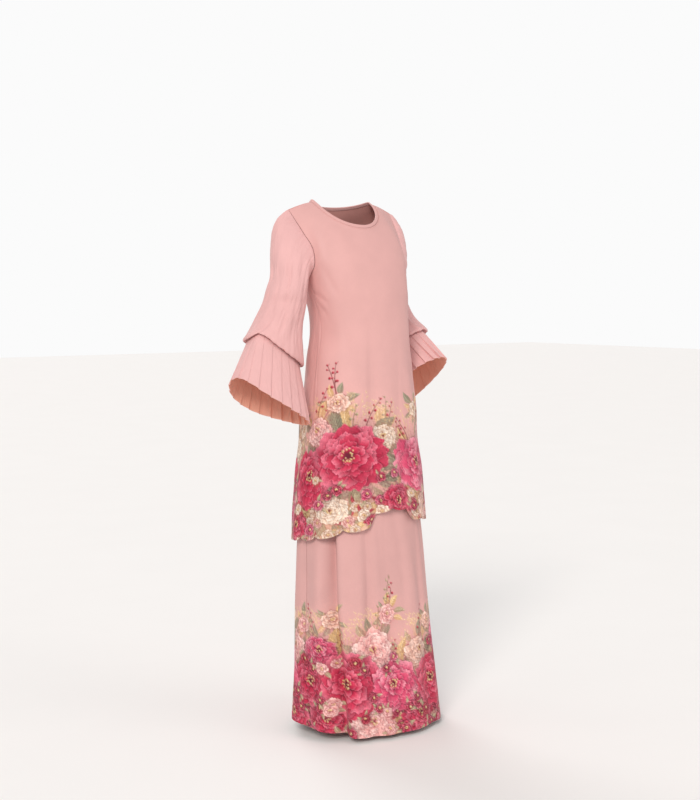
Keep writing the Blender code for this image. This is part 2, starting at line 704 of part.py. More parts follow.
def along_polygon(ring, turns):
    """Points on the straight sides of a ring at the given turns."""
    count = len(ring)
    places = np.asarray(turns) / (2 * pi) * count
    low = np.floor(places).astype(int) % count
    share = (places - np.floor(places))[:, None]
    return ring[low] * (1 - share) + ring[(low + 1) % count] * share


def pleat_wave():
    """How deep each column of a flounce lies in its knife pleat, 0 on top to 1 at the bottom."""
    return np.tile(np.linspace(1.0, 0.0, POINTS_PER_PLEAT), PLEATS_PER_FLOUNCE)


def pleat_turns():
    """Turns of a flounce's columns: each pleat rises slowly and drops back quickly."""
    shares = np.linspace(PLEAT_TOP_START, PLEAT_TOP_END, POINTS_PER_PLEAT)
    places = [pleat + share for pleat in range(PLEATS_PER_FLOUNCE) for share in shares]
    return np.array(places) / PLEATS_PER_FLOUNCE * 2 * pi


def make_flounce(side_name, side, side_grid):
    """Lower tier: a knife-pleated flounce that hangs from inside the turned-under edge."""
    turns = pleat_turns()
    rows = upper_tier_rows(side_name, side, side_grid)
    down, outward = lip_frame(rows)
    inset = LIP_INSET + FLOUNCE_GAP
    seam = rows[-1] - outward * inset - down * (LIP_RISE - FLOUNCE_SEAM_DROP)
    past_lip = rows[-1] - outward * (inset + FLOUNCE_LIP_CLEARANCE) + down * LIP_RADIUS
    hem = lifted(oval(FLOUNCE_HEMS[side_name], turns), turns, FLOUNCE_LIFTS[side_name])
    rings = [along_polygon(seam, turns), along_polygon(past_lip, turns), hem]
    grid = np.array(loft(rings, FLOUNCE_ROWS))
    wave = pleat_wave()
    if side > 0:
        grid = grid[:, ::-1]
        wave = wave[::-1]
    directions = wall_directions(grid, closed=True)
    growth = np.concatenate(([0.0], np.linspace(PLEAT_SHARE_AT_LIP, 1.0, len(grid) - 1)))
    depth = PLEAT_DEPTH_AT_SEAM + (PLEAT_DEPTH_AT_HEM - PLEAT_DEPTH_AT_SEAM) * growth
    grid = grid - directions * depth[:, None, None] * wave[None, :, None]
    return wall_mesh("flounce_" + side_name, grid, FLOUNCE_WALL, CHIFFON, closed=True)


# --- Skirt ----------------------------------------------------------------------------

def skirt_panel_grid(is_front):
    """Outer face of the front or back skirt panel, between the side seams."""
    seam = np.degrees(SEAM_GAP / 2 / SKIRT_SECTIONS[0].half_depth)
    steps = SKIRT_FRONT_STEPS if is_front else SKIRT_BACK_STEPS
    angles = np.linspace(-90.0 + seam, 90.0 - seam, steps + 1)
    if not is_front:
        angles = angles + 180.0
    columns = []
    for angle in angles:
        heights = np.linspace(WAIST_HEIGHT, hem_height(SKIRT_HEM, angle), SKIRT_ROWS + 1)
        columns.append([ring_point(SKIRT_SECTIONS, SKIRT_FOLDS, z, angle, angle) for z in heights])
    return np.array(columns).transpose(1, 0, 2)


def make_skirt_panel(name, is_front):
    """Front or back panel of the skirt."""
    return wall_mesh(name, skirt_panel_grid(is_front), BODY_WALL, SATIN)


def make_waistband():
    """Elastic waistband that stands on the skirt's top edge."""
    angles = np.arange(WAISTBAND_STEPS) * 360.0 / WAISTBAND_STEPS
    ring = np.array([ring_point(SKIRT_SECTIONS, (), WAIST_HEIGHT, a, a) for a in angles])
    outward = unit(ring - ring.mean(axis=0))
    bottom = WAIST_HEIGHT + SEAM_GAP
    top = bottom + WAISTBAND_DEPTH
    outside, inside = WAISTBAND_OUTSET, WAISTBAND_OUTSET - WAISTBAND_THICKNESS
    loops = []
    for outset, height in ((outside, bottom), (outside, top), (inside, top), (inside, bottom)):
        loop = ring + outward * outset
        loop[:, 2] = height
        loops.append(loop)
    return band_mesh("skirt_waistband", loops, SATIN)


def main():
    """Make the tunic, its sleeves and the skirt."""
    clear_scene()
    side_grids = make_tunic_body()
    for side_name, side in (("right", -1), ("left", 1)):
        make_sleeve(side_name, side, side_grids[side])
        make_flounce(side_name, side, side_grids[side])
    make_skirt_panel("skirt_front", True)
    make_skirt_panel("skirt_back", False)
    make_waistband()


main()
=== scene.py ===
"""Looks of a baju kurung set as it hangs when worn: a long tunic over a long skirt.

Units are metres and +Z is up. The front faces -Y and the wearer's right is -X. Every sewn piece
is a thin closed shell of cloth on the form of its solid, with finer folds, creases, pleats, seams
and stitches, and the tunic and the skirt carry a painted border of garden flowers along their
hems. Angles round the body are in degrees: 0 is the front, 90 the wearer's left, 180 the back.
"""

import logging
from dataclasses import dataclass, field
from enum import Enum
from functools import cached_property
from math import cos, pi, radians, sin
from typing import NamedTuple, Optional, Sequence

import bpy
import numpy as np
from bpy.types import ID, Material, Mesh, Node, NodeSocket, NodeTree, Object
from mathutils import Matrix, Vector
from numpy.linalg import norm


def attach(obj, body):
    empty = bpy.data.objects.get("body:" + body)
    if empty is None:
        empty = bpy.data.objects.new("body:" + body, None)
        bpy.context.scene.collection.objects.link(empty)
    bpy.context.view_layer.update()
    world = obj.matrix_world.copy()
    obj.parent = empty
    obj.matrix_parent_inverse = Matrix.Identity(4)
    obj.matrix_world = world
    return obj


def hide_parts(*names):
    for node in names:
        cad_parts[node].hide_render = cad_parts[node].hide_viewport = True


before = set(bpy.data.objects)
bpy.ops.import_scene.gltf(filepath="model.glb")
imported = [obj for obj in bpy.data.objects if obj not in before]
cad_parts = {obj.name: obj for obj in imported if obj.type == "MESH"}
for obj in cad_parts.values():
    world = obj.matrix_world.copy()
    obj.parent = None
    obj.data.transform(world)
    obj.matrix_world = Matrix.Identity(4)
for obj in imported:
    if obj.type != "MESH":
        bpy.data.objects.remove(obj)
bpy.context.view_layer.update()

LOG = logging.getLogger("baju_kurung")
Array = np.ndarray
Pair = tuple[float, float]
Triple = tuple[float, float, float]


# --- Sizes shared with the solids ---

class Section(NamedTuple):
    """A level ring of the garment: its height, its centre and its half axes."""

    height: float
    centre_x: float
    centre_y: float
    half_width: float
    half_depth: float


class Fold(NamedTuple):
    """A hanging fold: its angle and width in degrees, its depth, its top and its steep side.

    A slanting fold has its angle at its top and turns by its slant, in degrees, every metre down.
    """

    angle: float
    width: float
    depth: float
    top: float
    lean: int
    slant: float = 0.0


class HemPoint(NamedTuple):
    """Height of a hem line at an angle."""

    angle: float
    height: float


class Scallop(NamedTuple):
    """Where a scallop ends, and its share of the panel's columns."""

    end_angle: float
    steps: int


class Fall(NamedTuple):
    """How the cloth leaves a panel's top edge at its centre, neck point and shoulder tip."""

    centre: Triple
    neck: Triple
    tip: Triple


class Oval(NamedTuple):
    """A ring of a sleeve: its centre and its half axes away from the body and to the front."""

    centre: Triple
    out: Triple
    front: Triple


class Lift(NamedTuple):
    """A stretch of a sleeve edge that is raised or let down."""

    angle: float
    width: float
    rise: float


class Crease(NamedTuple):
    """A soft trough (or, with a negative depth, a ridge) from one point of the cloth to another.

    Its ends are given as an angle and a height; width and depth are in metres.
    """

    start: Pair
    end: Pair
    width: float
    depth: float


def rows_of(kind: type, rows: Sequence[tuple]) -> tuple:
    """A table whose rows have the columns of one kind."""
    return tuple(kind(*row) for row in rows)


# Cloth and seams
SEAM_GAP = 0.0004
ARMHOLE_GAP = 0.0006
FLOUNCE_GAP = 0.0004
ROUNDNESS = 2.25  # exponent of the rings: 2 is an ellipse, more is squarer
SHARP_EDGE_ANGLE = 58  # degrees; sharper edges, such as a hem's, are drawn sharp
PRINT_ATTRIBUTE = "print_colour"

# Tunic
UNDERARM_HEIGHT = -0.190  # below this the tunic is made of level rings
NECK_POINT_HEIGHT = 0.010
NECK_HALF_WIDTH = 0.098
NECK_FRONT_DROP = 0.074
NECK_FRONT_REACH = 0.088
NECK_BACK_DROP = 0.024
NECK_BACK_REACH = 0.060
SHOULDER_TIP = (0.162, 0.008, -0.017)
SIDE_SEAM_TOP_ANGLE = 86.5
SIDE_SEAM_HEM_ANGLE = 72.0
SIDE_SEAM_CURVE = 1.4
WAIST_HEIGHT = -0.3725

# Sleeve heads: how the cloth leaves the armhole
HEAD_OUT = 0.62
HEAD_FORWARD = 0.20
HEAD_RISE = 0.34
HEAD_SINK = 0.30
UNDERARM_LIFT = 0.7

# The solids' steps, which the finer grids here are multiples of
ARMHOLE_STEPS = 8
SHOULDER_STEPS = 5
UNDERARM_STEPS = 3
SLEEVE_ROWS = (4, 2, 2, 3)
CURVE_STEPS = 12
FALL_STRENGTH = 1.1
ARMHOLE_PULL = 2.0
EASING_PASSES = 10

# Folds and creases
FOLD_GROWTH_LENGTH = 0.45
FOLD_SOFT_SHARE = 0.75
FOLD_STEEP_SHARE = 0.38
CREASE_FADE = 0.35  # share of a crease over which each end dies out
CREASE_BOW = 0.05  # how far creases bow, as a share of their length
SCALLOP_DEPTH = 0.012
WIDEST_SCALLOP = 28.0
SCALLOP_SHAPE = 0.6
SIDE_SCALLOP_SHARE = 0.8
SCALLOPS_PER_SIDE = 2

# Where the points of one knife pleat lie across it, and its visible fold's start and end
PLEAT_SHARES = (0.10, 0.17, 0.25, 0.34, 0.44, 0.54, 0.64, 0.73, 0.81, 0.87, 0.92, 0.96, 1.00, 1.045)
PLEAT_TOP_START = 0.10
PLEAT_TOP_END = 0.92
PLEAT_BACK_GAP = 0.01
PLEAT_BACK_END = 1.09

# Painted motifs
PAINT_EDGE = 0.0016  # softness of a painted edge
PETAL_SHADE = 0.0045  # reach of the shade a petal throws on the ones below it
EDGING_ROWS = (0.050, 0.018, -0.012, -0.040)
EDGING_SPACING = 0.036
LEAVES_PER_BLOSSOM = 9
SMALL_FLOWERS_PER_BLOSSOM = 4
# Petals from the outside in: how many, how far out, how wide for their length, where they start
PETAL_LAYERS = ((9, 1.00, 0.80, 0.20), (9, 0.84, 0.78, 0.15), (8, 0.66, 0.80, 0.10),
                (7, 0.48, 0.84, 0.06), (5, 0.31, 0.90, 0.03))

TUNIC_SECTIONS = rows_of(Section, (
    (-0.120, 0.006, -0.018, 0.146, 0.102),
    (-0.190, 0.011, -0.031, 0.145, 0.111),
    (-0.225, 0.015, -0.037, 0.141, 0.111),
    (-0.270, 0.020, -0.044, 0.134, 0.106),
    (-0.330, 0.022, -0.047, 0.134, 0.105),
    (-0.400, 0.021, -0.047, 0.142, 0.111),
    (-0.500, 0.020, -0.046, 0.154, 0.120),
    (-0.600, 0.020, -0.046, 0.164, 0.128),
    (-0.680, 0.020, -0.046, 0.173, 0.135),
    (-0.760, 0.020, -0.047, 0.181, 0.142),
    (-0.880, 0.020, -0.048, 0.188, 0.148),
))
SKIRT_SECTIONS = rows_of(Section, (
    (-0.340, 0.020, -0.044, 0.112, 0.084),
    (-0.380, 0.020, -0.044, 0.112, 0.084),
    (-0.460, 0.020, -0.045, 0.134, 0.100),
    (-0.560, 0.020, -0.046, 0.148, 0.110),
    (-0.700, 0.020, -0.047, 0.158, 0.120),
    (-0.800, 0.020, -0.049, 0.167, 0.127),
    (-0.885, 0.021, -0.050, 0.176, 0.136),
    (-1.010, 0.023, -0.053, 0.184, 0.143),
    (-1.115, 0.025, -0.057, 0.190, 0.147),
    (-1.220, 0.028, -0.062, 0.199, 0.154),
    (-1.350, 0.032, -0.067, 0.211, 0.164),
))
TUNIC_FOLDS = rows_of(Fold, (
    (-50, 13, 0.0050, -0.45, 0),
    (-14, 11, 0.0075, -0.27, -1),
    (12, 11, 0.0065, -0.34, 1),
    (44, 12, 0.0050, -0.40, 0),
    (-74, 10, 0.0040, -0.50, 0),
    (112, 13, 0.0060, -0.45, 0),
    (142, 14, 0.0075, -0.38, 1),
    (176, 15, 0.0080, -0.32, 0),
    (-148, 14, 0.0070, -0.38, -1),
    (-114, 12, 0.0060, -0.45, 0),
))
SKIRT_FOLDS = rows_of(Fold, (
    (-84, 13, 0.0070, -0.75, 0),
    (-68, 13, 0.0320, -0.47, 1, 23.0),
    (-23, 11, 0.0100, -0.50, -1),
    (-4, 12, 0.0080, -0.70, -1),
    (30, 13, 0.0080, -0.72, 1),
    (62, 12, 0.0065, -0.75, 0),
    (112, 14, 0.0090, -0.70, -1),
    (146, 14, 0.0110, -0.62, 0),
    (180, 15, 0.0100, -0.66, 1),
    (-146, 14, 0.0110, -0.62, 0),
    (-114, 12, 0.0080, -0.74, 1),
))
TUNIC_HEM = rows_of(HemPoint, (
    (-180, -0.856), (-122, -0.855), (-72, -0.836), (-43, -0.816), (-17, -0.806), (-12.7, -0.774),
    (0, -0.769), (13, -0.774), (18, -0.797), (45, -0.806), (72, -0.816), (108, -0.834),
    (180, -0.856),
))
SKIRT_HEM = rows_of(HemPoint, (
    (-180, -1.324), (-120, -1.314), (-88, -1.322), (-50, -1.331), (-40, -1.338), (0, -1.339),
    (60, -1.336), (120, -1.330), (180, -1.324),
))
FRONT_SCALLOPS = rows_of(Scallop, (
    (-43, 8), (-17, 6), (0, 4), (13, 4), (32, 4), (52, 5), (72, 5),
))
BACK_SCALLOPS = rows_of(Scallop, (
    (-52, 4), (-34, 4), (-17, 4), (0, 5), (17, 5), (34, 4), (52, 4), (72, 4),
))
ARMHOLE_FRONT = ((0.152, -0.034, -0.076), (0.141, -0.060, -0.116), (0.142, -0.066, -0.158))
ARMHOLE_BACK = ((0.157, 0.036, -0.074), (0.151, 0.047, -0.116), (0.146, 0.036, -0.158))
FRONT_FALL = Fall(centre=(0, -0.48, -0.88), neck=(0.25, -0.74, -0.60), tip=(-0.05, -0.60, -0.80))
BACK_FALL = Fall(centre=(0, 0.38, -0.92), neck=(0.25, 0.72, -0.62), tip=(-0.05, 0.55, -0.83))
SLEEVE_OVALS = {
    "right": rows_of(Oval, (
        ((-0.194, -0.036, -0.205), (-0.047, 0.000, 0.008), (0.000, -0.055, 0.000)),
        ((-0.201, -0.028, -0.258), (-0.053, 0.000, 0.008), (0.000, -0.056, 0.000)),
        ((-0.209, -0.014, -0.312), (-0.063, -0.002, 0.016), (0.000, -0.058, 0.000)),
        ((-0.218, -0.008, -0.371), (-0.085, -0.006, 0.032), (0.000, -0.064, -0.002)),
    )),
    "left": rows_of(Oval, (
        ((0.197, 0.072, -0.205), (0.046, 0.010, 0.008), (0.010, -0.052, 0.000)),
        ((0.208, 0.074, -0.258), (0.053, 0.006, 0.008), (0.006, -0.058, 0.000)),
        ((0.217, 0.062, -0.306), (0.058, 0.002, 0.008), (0.002, -0.068, 0.008)),
        ((0.226, 0.040, -0.350), (0.064, 0.000, 0.008), (0.000, -0.080, 0.018)),
    )),
}
FLOUNCE_HEMS = {
    "right": Oval((-0.261, -0.052, -0.505), (-0.106, 0.008, 0.054), (0.006, -0.066, 0.004)),
    "left": Oval((0.242, -0.008, -0.462), (0.062, 0.000, 0.002), (-0.004, -0.112, 0.068)),
}
# How far the columns under the arm turn forward at the top to meet the underarm, in radians
UNDERARM_SWING = {"right": 0.0, "left": 0.8}
TIER_LIFTS = {"right": (Lift(42, 34, 0.026), Lift(150, 40, -0.006)), "left": (Lift(80, 35, 0.012),)}
FLOUNCE_LIFTS = {"right": (Lift(18, 40, 0.022), Lift(285, 55, -0.016)),
                 "left": (Lift(300, 50, -0.016),)}
TUNIC_CREASES = rows_of(Crease, (
    ((-84, -0.215), (-52, -0.262), 0.0085, 0.0026), ((-80, -0.232), (-58, -0.300), 0.0080, 0.0018),
    ((84, -0.210), (56, -0.255), 0.0085, 0.0024), ((78, -0.235), (60, -0.290), 0.0075, 0.0016),
    ((-60, -0.150), (-40, -0.250), 0.0100, 0.0014), ((62, -0.140), (44, -0.230), 0.0100, 0.0014),
    ((-44, -0.270), (-40, -0.560), 0.0130, 0.0020), ((-19, -0.290), (-17, -0.860), 0.0140, 0.0028),
    ((-4, -0.420), (-3, -0.800), 0.0150, -0.0014), ((12, -0.330), (13, -0.840), 0.0150, 0.0028),
    ((32, -0.330), (34, -0.740), 0.0130, 0.0020), ((58, -0.380), (60, -0.760), 0.0120, 0.0016),
    ((-64, -0.420), (-62, -0.780), 0.0110, 0.0018), ((-90, -0.300), (-92, -0.700), 0.0120, 0.0020),
    ((90, -0.310), (92, -0.690), 0.0120, 0.0020), ((128, -0.300), (127, -0.640), 0.0130, 0.0018),
    ((-130, -0.310), (-131, -0.700), 0.0130, 0.0018), ((160, -0.260), (159, -0.560), 0.0120, 0.0016),
    ((-164, -0.270), (-166, -0.620), 0.0120, 0.0016), ((110, -0.215), (128, -0.262), 0.0085, 0.0020),
    ((-108, -0.215), (-130, -0.268), 0.0085, 0.0022), ((-150, -0.060), (-132, -0.170), 0.0120, 0.0014),
    ((150, -0.060), (134, -0.165), 0.0120, 0.0014),
))
SKIRT_CREASES = rows_of(Crease, (
    ((-44, -0.700), (-40, -1.400), 0.0150, -0.0026), ((-76, -0.760), (-74, -1.240), 0.0150, 0.0024),
    ((-21, -0.560), (-23, -1.360), 0.0130, 0.0032), ((-3, -0.640), (-2, -1.330), 0.0150, 0.0034),
    ((14, -0.800), (16, -1.290), 0.0160, -0.0016), ((30, -0.600), (32, -1.340), 0.0150, 0.0030),
    ((50, -0.820), (51, -1.260), 0.0150, 0.0018), ((76, -0.700), (78, -1.330), 0.0160, 0.0030),
    ((-100, -0.700), (-101, -1.300), 0.0160, 0.0030), ((-130, -0.620), (-131, -1.340), 0.0170, 0.0036),
    ((-164, -0.700), (-166, -1.260), 0.0160, 0.0030), ((164, -0.620), (163, -1.340), 0.0170, 0.0034),
    ((128, -0.700), (129, -1.280), 0.0160, 0.0030), ((100, -0.760), (99, -1.330), 0.0160, 0.0026),
))
SLEEVE_CREASES = {
    "right": rows_of(Crease, (
        ((40, -0.110), (52, -0.330), 0.0060, 0.0026), ((70, -0.080), (84, -0.300), 0.0060, 0.0022),
        ((96, -0.150), (110, -0.340), 0.0060, 0.0024), ((10, -0.120), (20, -0.330), 0.0065, 0.0022),
        ((-20, -0.100), (-10, -0.300), 0.0065, 0.0022), ((58, -0.230), (66, -0.362), 0.0050, 0.0022),
        ((26, -0.240), (34, -0.350), 0.0050, 0.0020), ((84, -0.240), (92, -0.360), 0.0050, 0.0020),
        ((120, -0.235), (104, -0.290), 0.0060, 0.0024), ((142, -0.215), (118, -0.262), 0.0060, 0.0022),
        ((-55, -0.160), (-50, -0.350), 0.0065, 0.0022), ((-95, -0.180), (-92, -0.350), 0.0065, 0.0020),
        ((165, -0.230), (160, -0.350), 0.0065, 0.0018),
    )),
    "left": rows_of(Crease, (
        ((30, -0.090), (38, -0.290), 0.0060, 0.0022), ((60, -0.120), (66, -0.320), 0.0060, 0.0024),
        ((90, -0.150), (92, -0.330), 0.0060, 0.0022), ((0, -0.110), (4, -0.320), 0.0065, 0.0022),
        ((-30, -0.120), (-26, -0.310), 0.0065, 0.0020), ((116, -0.200), (108, -0.300), 0.0060, 0.0022),
        ((76, -0.230), (80, -0.340), 0.0050, 0.0020), ((-70, -0.150), (-64, -0.320), 0.0065, 0.0022),
        ((-110, -0.190), (-106, -0.320), 0.0065, 0.0020), ((150, -0.200), (146, -0.310), 0.0060, 0.0020),
    )),
}


# --- Shared working ---

def unit(vectors: Array) -> Array:
    """Scale vectors to length 1 along the last axis."""
    vectors = np.asarray(vectors, dtype=float)
    return vectors / norm(vectors, axis=-1, keepdims=True)


def eased(share: Array) -> Array:
    """Smooth step from 0 to 1 as a share, held at its ends, goes from 0 to 1."""
    share = np.clip(share, 0.0, 1.0)
    return share * share * (3 - 2 * share)


def hermite(start: Array, end: Array, start_slope: Array, end_slope: Array, share: Array) -> Array:
    """Point at a share of the way along a cubic with the given ends and end slopes."""
    t2 = share * share
    t3 = t2 * share
    return ((2 * t3 - 3 * t2 + 1) * start + (t3 - 2 * t2 + share) * start_slope
            + (3 * t2 - 2 * t3) * end + (t3 - t2) * end_slope)


def loft(rings: Sequence[Array], steps: Sequence[int], first_slope: Optional[Array] = None) -> Array:
    """Rows of points on smooth curves through rings.

    Args:
        rings: The rings, from the first to the last.
        steps: How many rows each span between two rings is drawn in.
        first_slope: How the curves leave the first ring; along the first span if not given.

    Returns:
        The rows, one more than all the steps.
    """
    rings = [np.asarray(ring, dtype=float) for ring in rings]
    slopes = [rings[1] - rings[0] if first_slope is None else first_slope]
    slopes += [(after - before) / 2 for before, after in zip(rings, rings[2:])]
    slopes.append(rings[-1] - rings[-2])
    rows = [rings[0]]
    for i, count in enumerate(steps):
        rows += [hermite(rings[i], rings[i + 1], slopes[i], slopes[i + 1], step / count)
                 for step in range(1, count + 1)]
    return np.array(rows)


def curve_points(keys: Sequence[Array], steps: int) -> Array:
    """Evenly spaced points on a smooth curve through a few key points, one more than its steps."""
    fine = loft(keys, [CURVE_STEPS] * (len(keys) - 1))
    lengths = np.concatenate(([0.0], np.cumsum(norm(np.diff(fine, axis=0), axis=1))))
    wanted = np.linspace(0.0, lengths[-1], steps + 1)
    return np.stack([np.interp(wanted, lengths, fine[:, axis]) for axis in range(3)], axis=1)


def turn_between(angles: Array, other: float | Array) -> Array:
    """The smallest signed turns from one angle, or one for each, to others, in degrees."""
    return (np.asarray(angles) - other + 180.0) % 360.0 - 180.0


def ring_sizes(sections: Sequence[Section], heights: Array) -> Array:
    """The rings at some heights, eased between the table's rows.

    Args:
        sections: The table of rings, from the top down.
        heights: Any array of heights.

    Returns:
        For each height its centre_x, centre_y, half_width and half_depth, along a last axis.
    """
    rows = np.array(sections)
    depths = -rows[:, 0]
    depth = np.clip(-np.asarray(heights, dtype=float), depths[0], depths[-1])
    slopes = np.gradient(rows[:, 1:], depths, axis=0)
    i = np.clip(np.searchsorted(depths, depth, side="right") - 1, 0, len(depths) - 2)
    span = (depths[i + 1] - depths[i])[..., None]
    share = (depth - depths[i])[..., None] / span
    return hermite(rows[i, 1:], rows[i + 1, 1:], slopes[i] * span, slopes[i + 1] * span, share)


def fold_depths(folds: Sequence[Fold], angles: Array, heights: Array) -> Array:
    """How far the folds draw the cloth in, at angles (taken at the hem) and heights."""
    total = np.zeros(np.broadcast(angles, heights).shape)
    for fold in folds:
        turn = turn_between(angles, fold.angle + fold.slant * (fold.top - heights))
        width = fold.width * np.where(turn * fold.lean > 0, FOLD_STEEP_SHARE, FOLD_SOFT_SHARE)
        growth = np.clip((fold.top - heights) / FOLD_GROWTH_LENGTH, 0.0, 1.0)
        total = total + fold.depth * growth * (2 - growth) * np.exp(-(turn / width) ** 2)
    return total


def ring_points(sections: Sequence[Section], folds: Sequence[Fold], heights: Array,
                angles: Array, hem_angles: Array) -> Array:
    """Points of the cloth at heights and angles.

    Args:
        sections: The garment's rings.
        folds: The garment's folds.
        heights: Height of each point.
        angles: Angle of each point round the body.
        hem_angles: Angle at which each point's column reaches the hem.

    Returns:
        The points, along a last axis.
    """
    rings = ring_sizes(sections, heights)
    across = np.sin(np.radians(angles))
    ahead = np.cos(np.radians(angles))
    power = 2 / ROUNDNESS
    offset = np.stack((rings[..., 2] * np.sign(across) * np.abs(across) ** power,
                       -rings[..., 3] * np.sign(ahead) * np.abs(ahead) ** power), axis=-1)
    size = norm(offset, axis=-1)
    offset = offset * ((size - fold_depths(folds, hem_angles, heights)) / size)[..., None]
    heights = np.broadcast_to(heights, size.shape)
    return np.concatenate((rings[..., :2] + offset, heights[..., None]), axis=-1)


def hem_heights(hem: Sequence[HemPoint], angles: Array) -> Array:
    """Heights of a hem line at some angles."""
    return np.interp(turn_between(angles, 0.0), [p.angle for p in hem], [p.height for p in hem])


def scallop_drop(share: Array) -> Array:
    """How far a scallop of depth 1 hangs at shares of its width."""
    return np.clip(1 - (2 * share - 1) ** 2, 0.0, 1.0) ** SCALLOP_SHAPE


def wall_directions(grid: Array, closed: bool) -> Array:
    """Outward unit direction at each point of a grid whose rows run down the garment.

    Args:
        grid: Rows of points.
        closed: Whether the rows are closed rings.

    Returns:
        One direction for each point.
    """
    if closed:
        along = np.roll(grid, -1, axis=1) - np.roll(grid, 1, axis=1)
    else:
        along = np.gradient(grid, axis=1)
    return unit(np.cross(np.gradient(grid, axis=0), along))


def lengths_along(grid: Array, axis: int) -> Array:
    """Length along the cloth from the start of each row (axis 1) or column (axis 0)."""
    steps = norm(np.diff(grid, axis=axis), axis=-1)
    total = np.cumsum(steps, axis=axis)
    pad = [(0, 0), (0, 0)]
    pad[axis] = (1, 0)
    return np.pad(total, pad)


def crease_relief(creases: Sequence[Crease], angles: Array, heights: Array, reach: float) -> Array:
    """How far creases draw the cloth in.

    Args:
        creases: The creases.
        angles: Angle of each point of the cloth.
        heights: Height of each point.
        reach: Distance of the cloth from the middle of its ring, which turns angles into lengths.

    Returns:
        The depth at each point.
    """
    metres_per_degree = reach * pi / 180
    total = np.zeros(np.shape(heights))
    for crease in creases:
        run = np.array(((crease.end[0] - crease.start[0]) * metres_per_degree,
                        crease.end[1] - crease.start[1]))
        length = norm(run)
        way = run / length
        x = turn_between(angles, crease.start[0]) * metres_per_degree
        y = heights - crease.start[1]
        along = (x * way[0] + y * way[1]) / length
        off = y * way[0] - x * way[1] - CREASE_BOW * length * np.sin(pi * np.clip(along, 0, 1))
        fade = eased(along / CREASE_FADE) * eased((1 - along) / CREASE_FADE)
        total += crease.depth * fade * np.exp(-(off / crease.width) ** 2)
    return total


def ripple(seed: int, points: Sequence[Array], wavelengths: Sequence[float], waves: int) -> Array:
    """Smooth uneven ripple of about size 1, from waves in random directions.

    Args:
        seed: Fixes the random directions.
        points: One array for each coordinate.
        wavelengths: Typical wavelength along each coordinate.
        waves: How many waves are added up.

    Returns:
        The ripple at each point.
    """
    rng = np.random.default_rng(seed)
    total = np.zeros(np.shape(points[0]))
    for _ in range(waves):
        spread = rng.normal(size=len(points))
        phase = rng.uniform(0, 2 * pi)
        total += np.sin(sum(2 * pi * p * s / w for p, s, w in zip(points, spread, wavelengths)) + phase)
    return total / np.sqrt(waves / 2)


# --- Meshes ---

def place_object(name: str, data: ID) -> Object:
    """Put an object with its data into the scene, at the origin."""
    placed = bpy.data.objects.new(name, data)
    bpy.context.scene.collection.objects.link(placed)
    return placed


def print_points(mesh: Mesh, colours: Array) -> None:
    """Keep linear print colours on a mesh's points, where the cloth's material reads them."""
    paint = mesh.attributes.new(PRINT_ATTRIBUTE, "FLOAT_COLOR", "POINT")
    paint.data.foreach_set("color", np.column_stack((colours, np.ones(len(colours)))).ravel())


def declare(piece: Object, node: str, flat: Pair) -> None:
    """Hang a piece under the root, hide the solid that it stands for and log how large it is cut.

    Args:
        piece: The piece.
        node: The solid that it replaces.
        flat: Width and length of the cloth laid flat.
    """
    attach(piece, "root")
    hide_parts(node)
    LOG.info("%s: %d faces, cut %.3f x %.3f m", piece.name, len(piece.data.polygons), *flat)


@dataclass
class GridMesh:
    """A mesh that is put together from grids of points and becomes one object."""

    name: str
    points: list[Array] = field(default_factory=list)
    faces: list[tuple[int, ...]] = field(default_factory=list)
    colours: list[Array] = field(default_factory=list)
    count: int = 0

    def add_points(self, grid: Array, colours: Array) -> Array:
        """Add a grid of points and their print colours.

        Args:
            grid: Points, with x, y and z along the last axis.
            colours: Linear colours of the same shape.

        Returns:
            The points' numbers in the mesh, in the grid's shape.
        """
        shape = grid.shape[:-1]
        size = int(np.prod(shape))
        self.points.append(grid.reshape(-1, 3))
        self.colours.append(np.broadcast_to(colours, grid.shape).reshape(-1, 3))
        index = np.arange(self.count, self.count + size).reshape(shape)
        self.count += size
        return index

    def add_quads(self, index: Array, closed: bool, outward: bool) -> None:
        """Join a grid of point numbers into quads that face out of the garment or into it."""
        if closed:
            index = np.concatenate((index, index[:, :1]), axis=1)
        quads = np.stack((index[:-1, :-1], index[1:, :-1], index[1:, 1:], index[:-1, 1:]), axis=-1)
        quads = quads.reshape(-1, 4)
        if not outward:
            quads = quads[:, ::-1]
        self.faces += [tuple(quad) for quad in quads.tolist()]

    def add_strip(self, outer: Array, inner: Array) -> None:
        """Close an edge between a fine outer line and an inner line with fewer points."""
        every = (len(outer) - 1) // (len(inner) - 1)
        for i in range(len(inner) - 1):
            face = outer[i * every:(i + 1) * every + 1].tolist()
            self.faces.append(tuple(face + [int(inner[i + 1]), int(inner[i])]))

    def finish(self, material: Material) -> Object:
        """Make the object.

        Args:
            material: Finish of the whole mesh.

        Returns:
            The object, at the origin.
        """
        mesh = bpy.data.meshes.new(self.name)
        mesh.from_pydata(np.concatenate(self.points).tolist(), [], self.faces)
        mesh.update()
        mesh.shade_smooth()
        mesh.set_sharp_from_angle(angle=radians(SHARP_EDGE_ANGLE))
        print_points(mesh, np.concatenate(self.colours))
        mesh.materials.append(material)
        return place_object(self.name, mesh)


def build_band(node: str, loops: Array, finish: "Finish", flat: Pair) -> None:
    """Build a closed band from the loops that run along the corners of its section.

    Args:
        node: The solid that it stands for.
        loops: One closed loop of points for each corner.
        finish: Its finish.
        flat: Its girth and its depth.
    """
    mesh = GridMesh(node + "_cloth")
    index = mesh.add_points(loops, finish.ground())
    mesh.add_quads(np.concatenate((index, index[:1])), True, False)
    declare(mesh.finish(finish.material), node, flat)


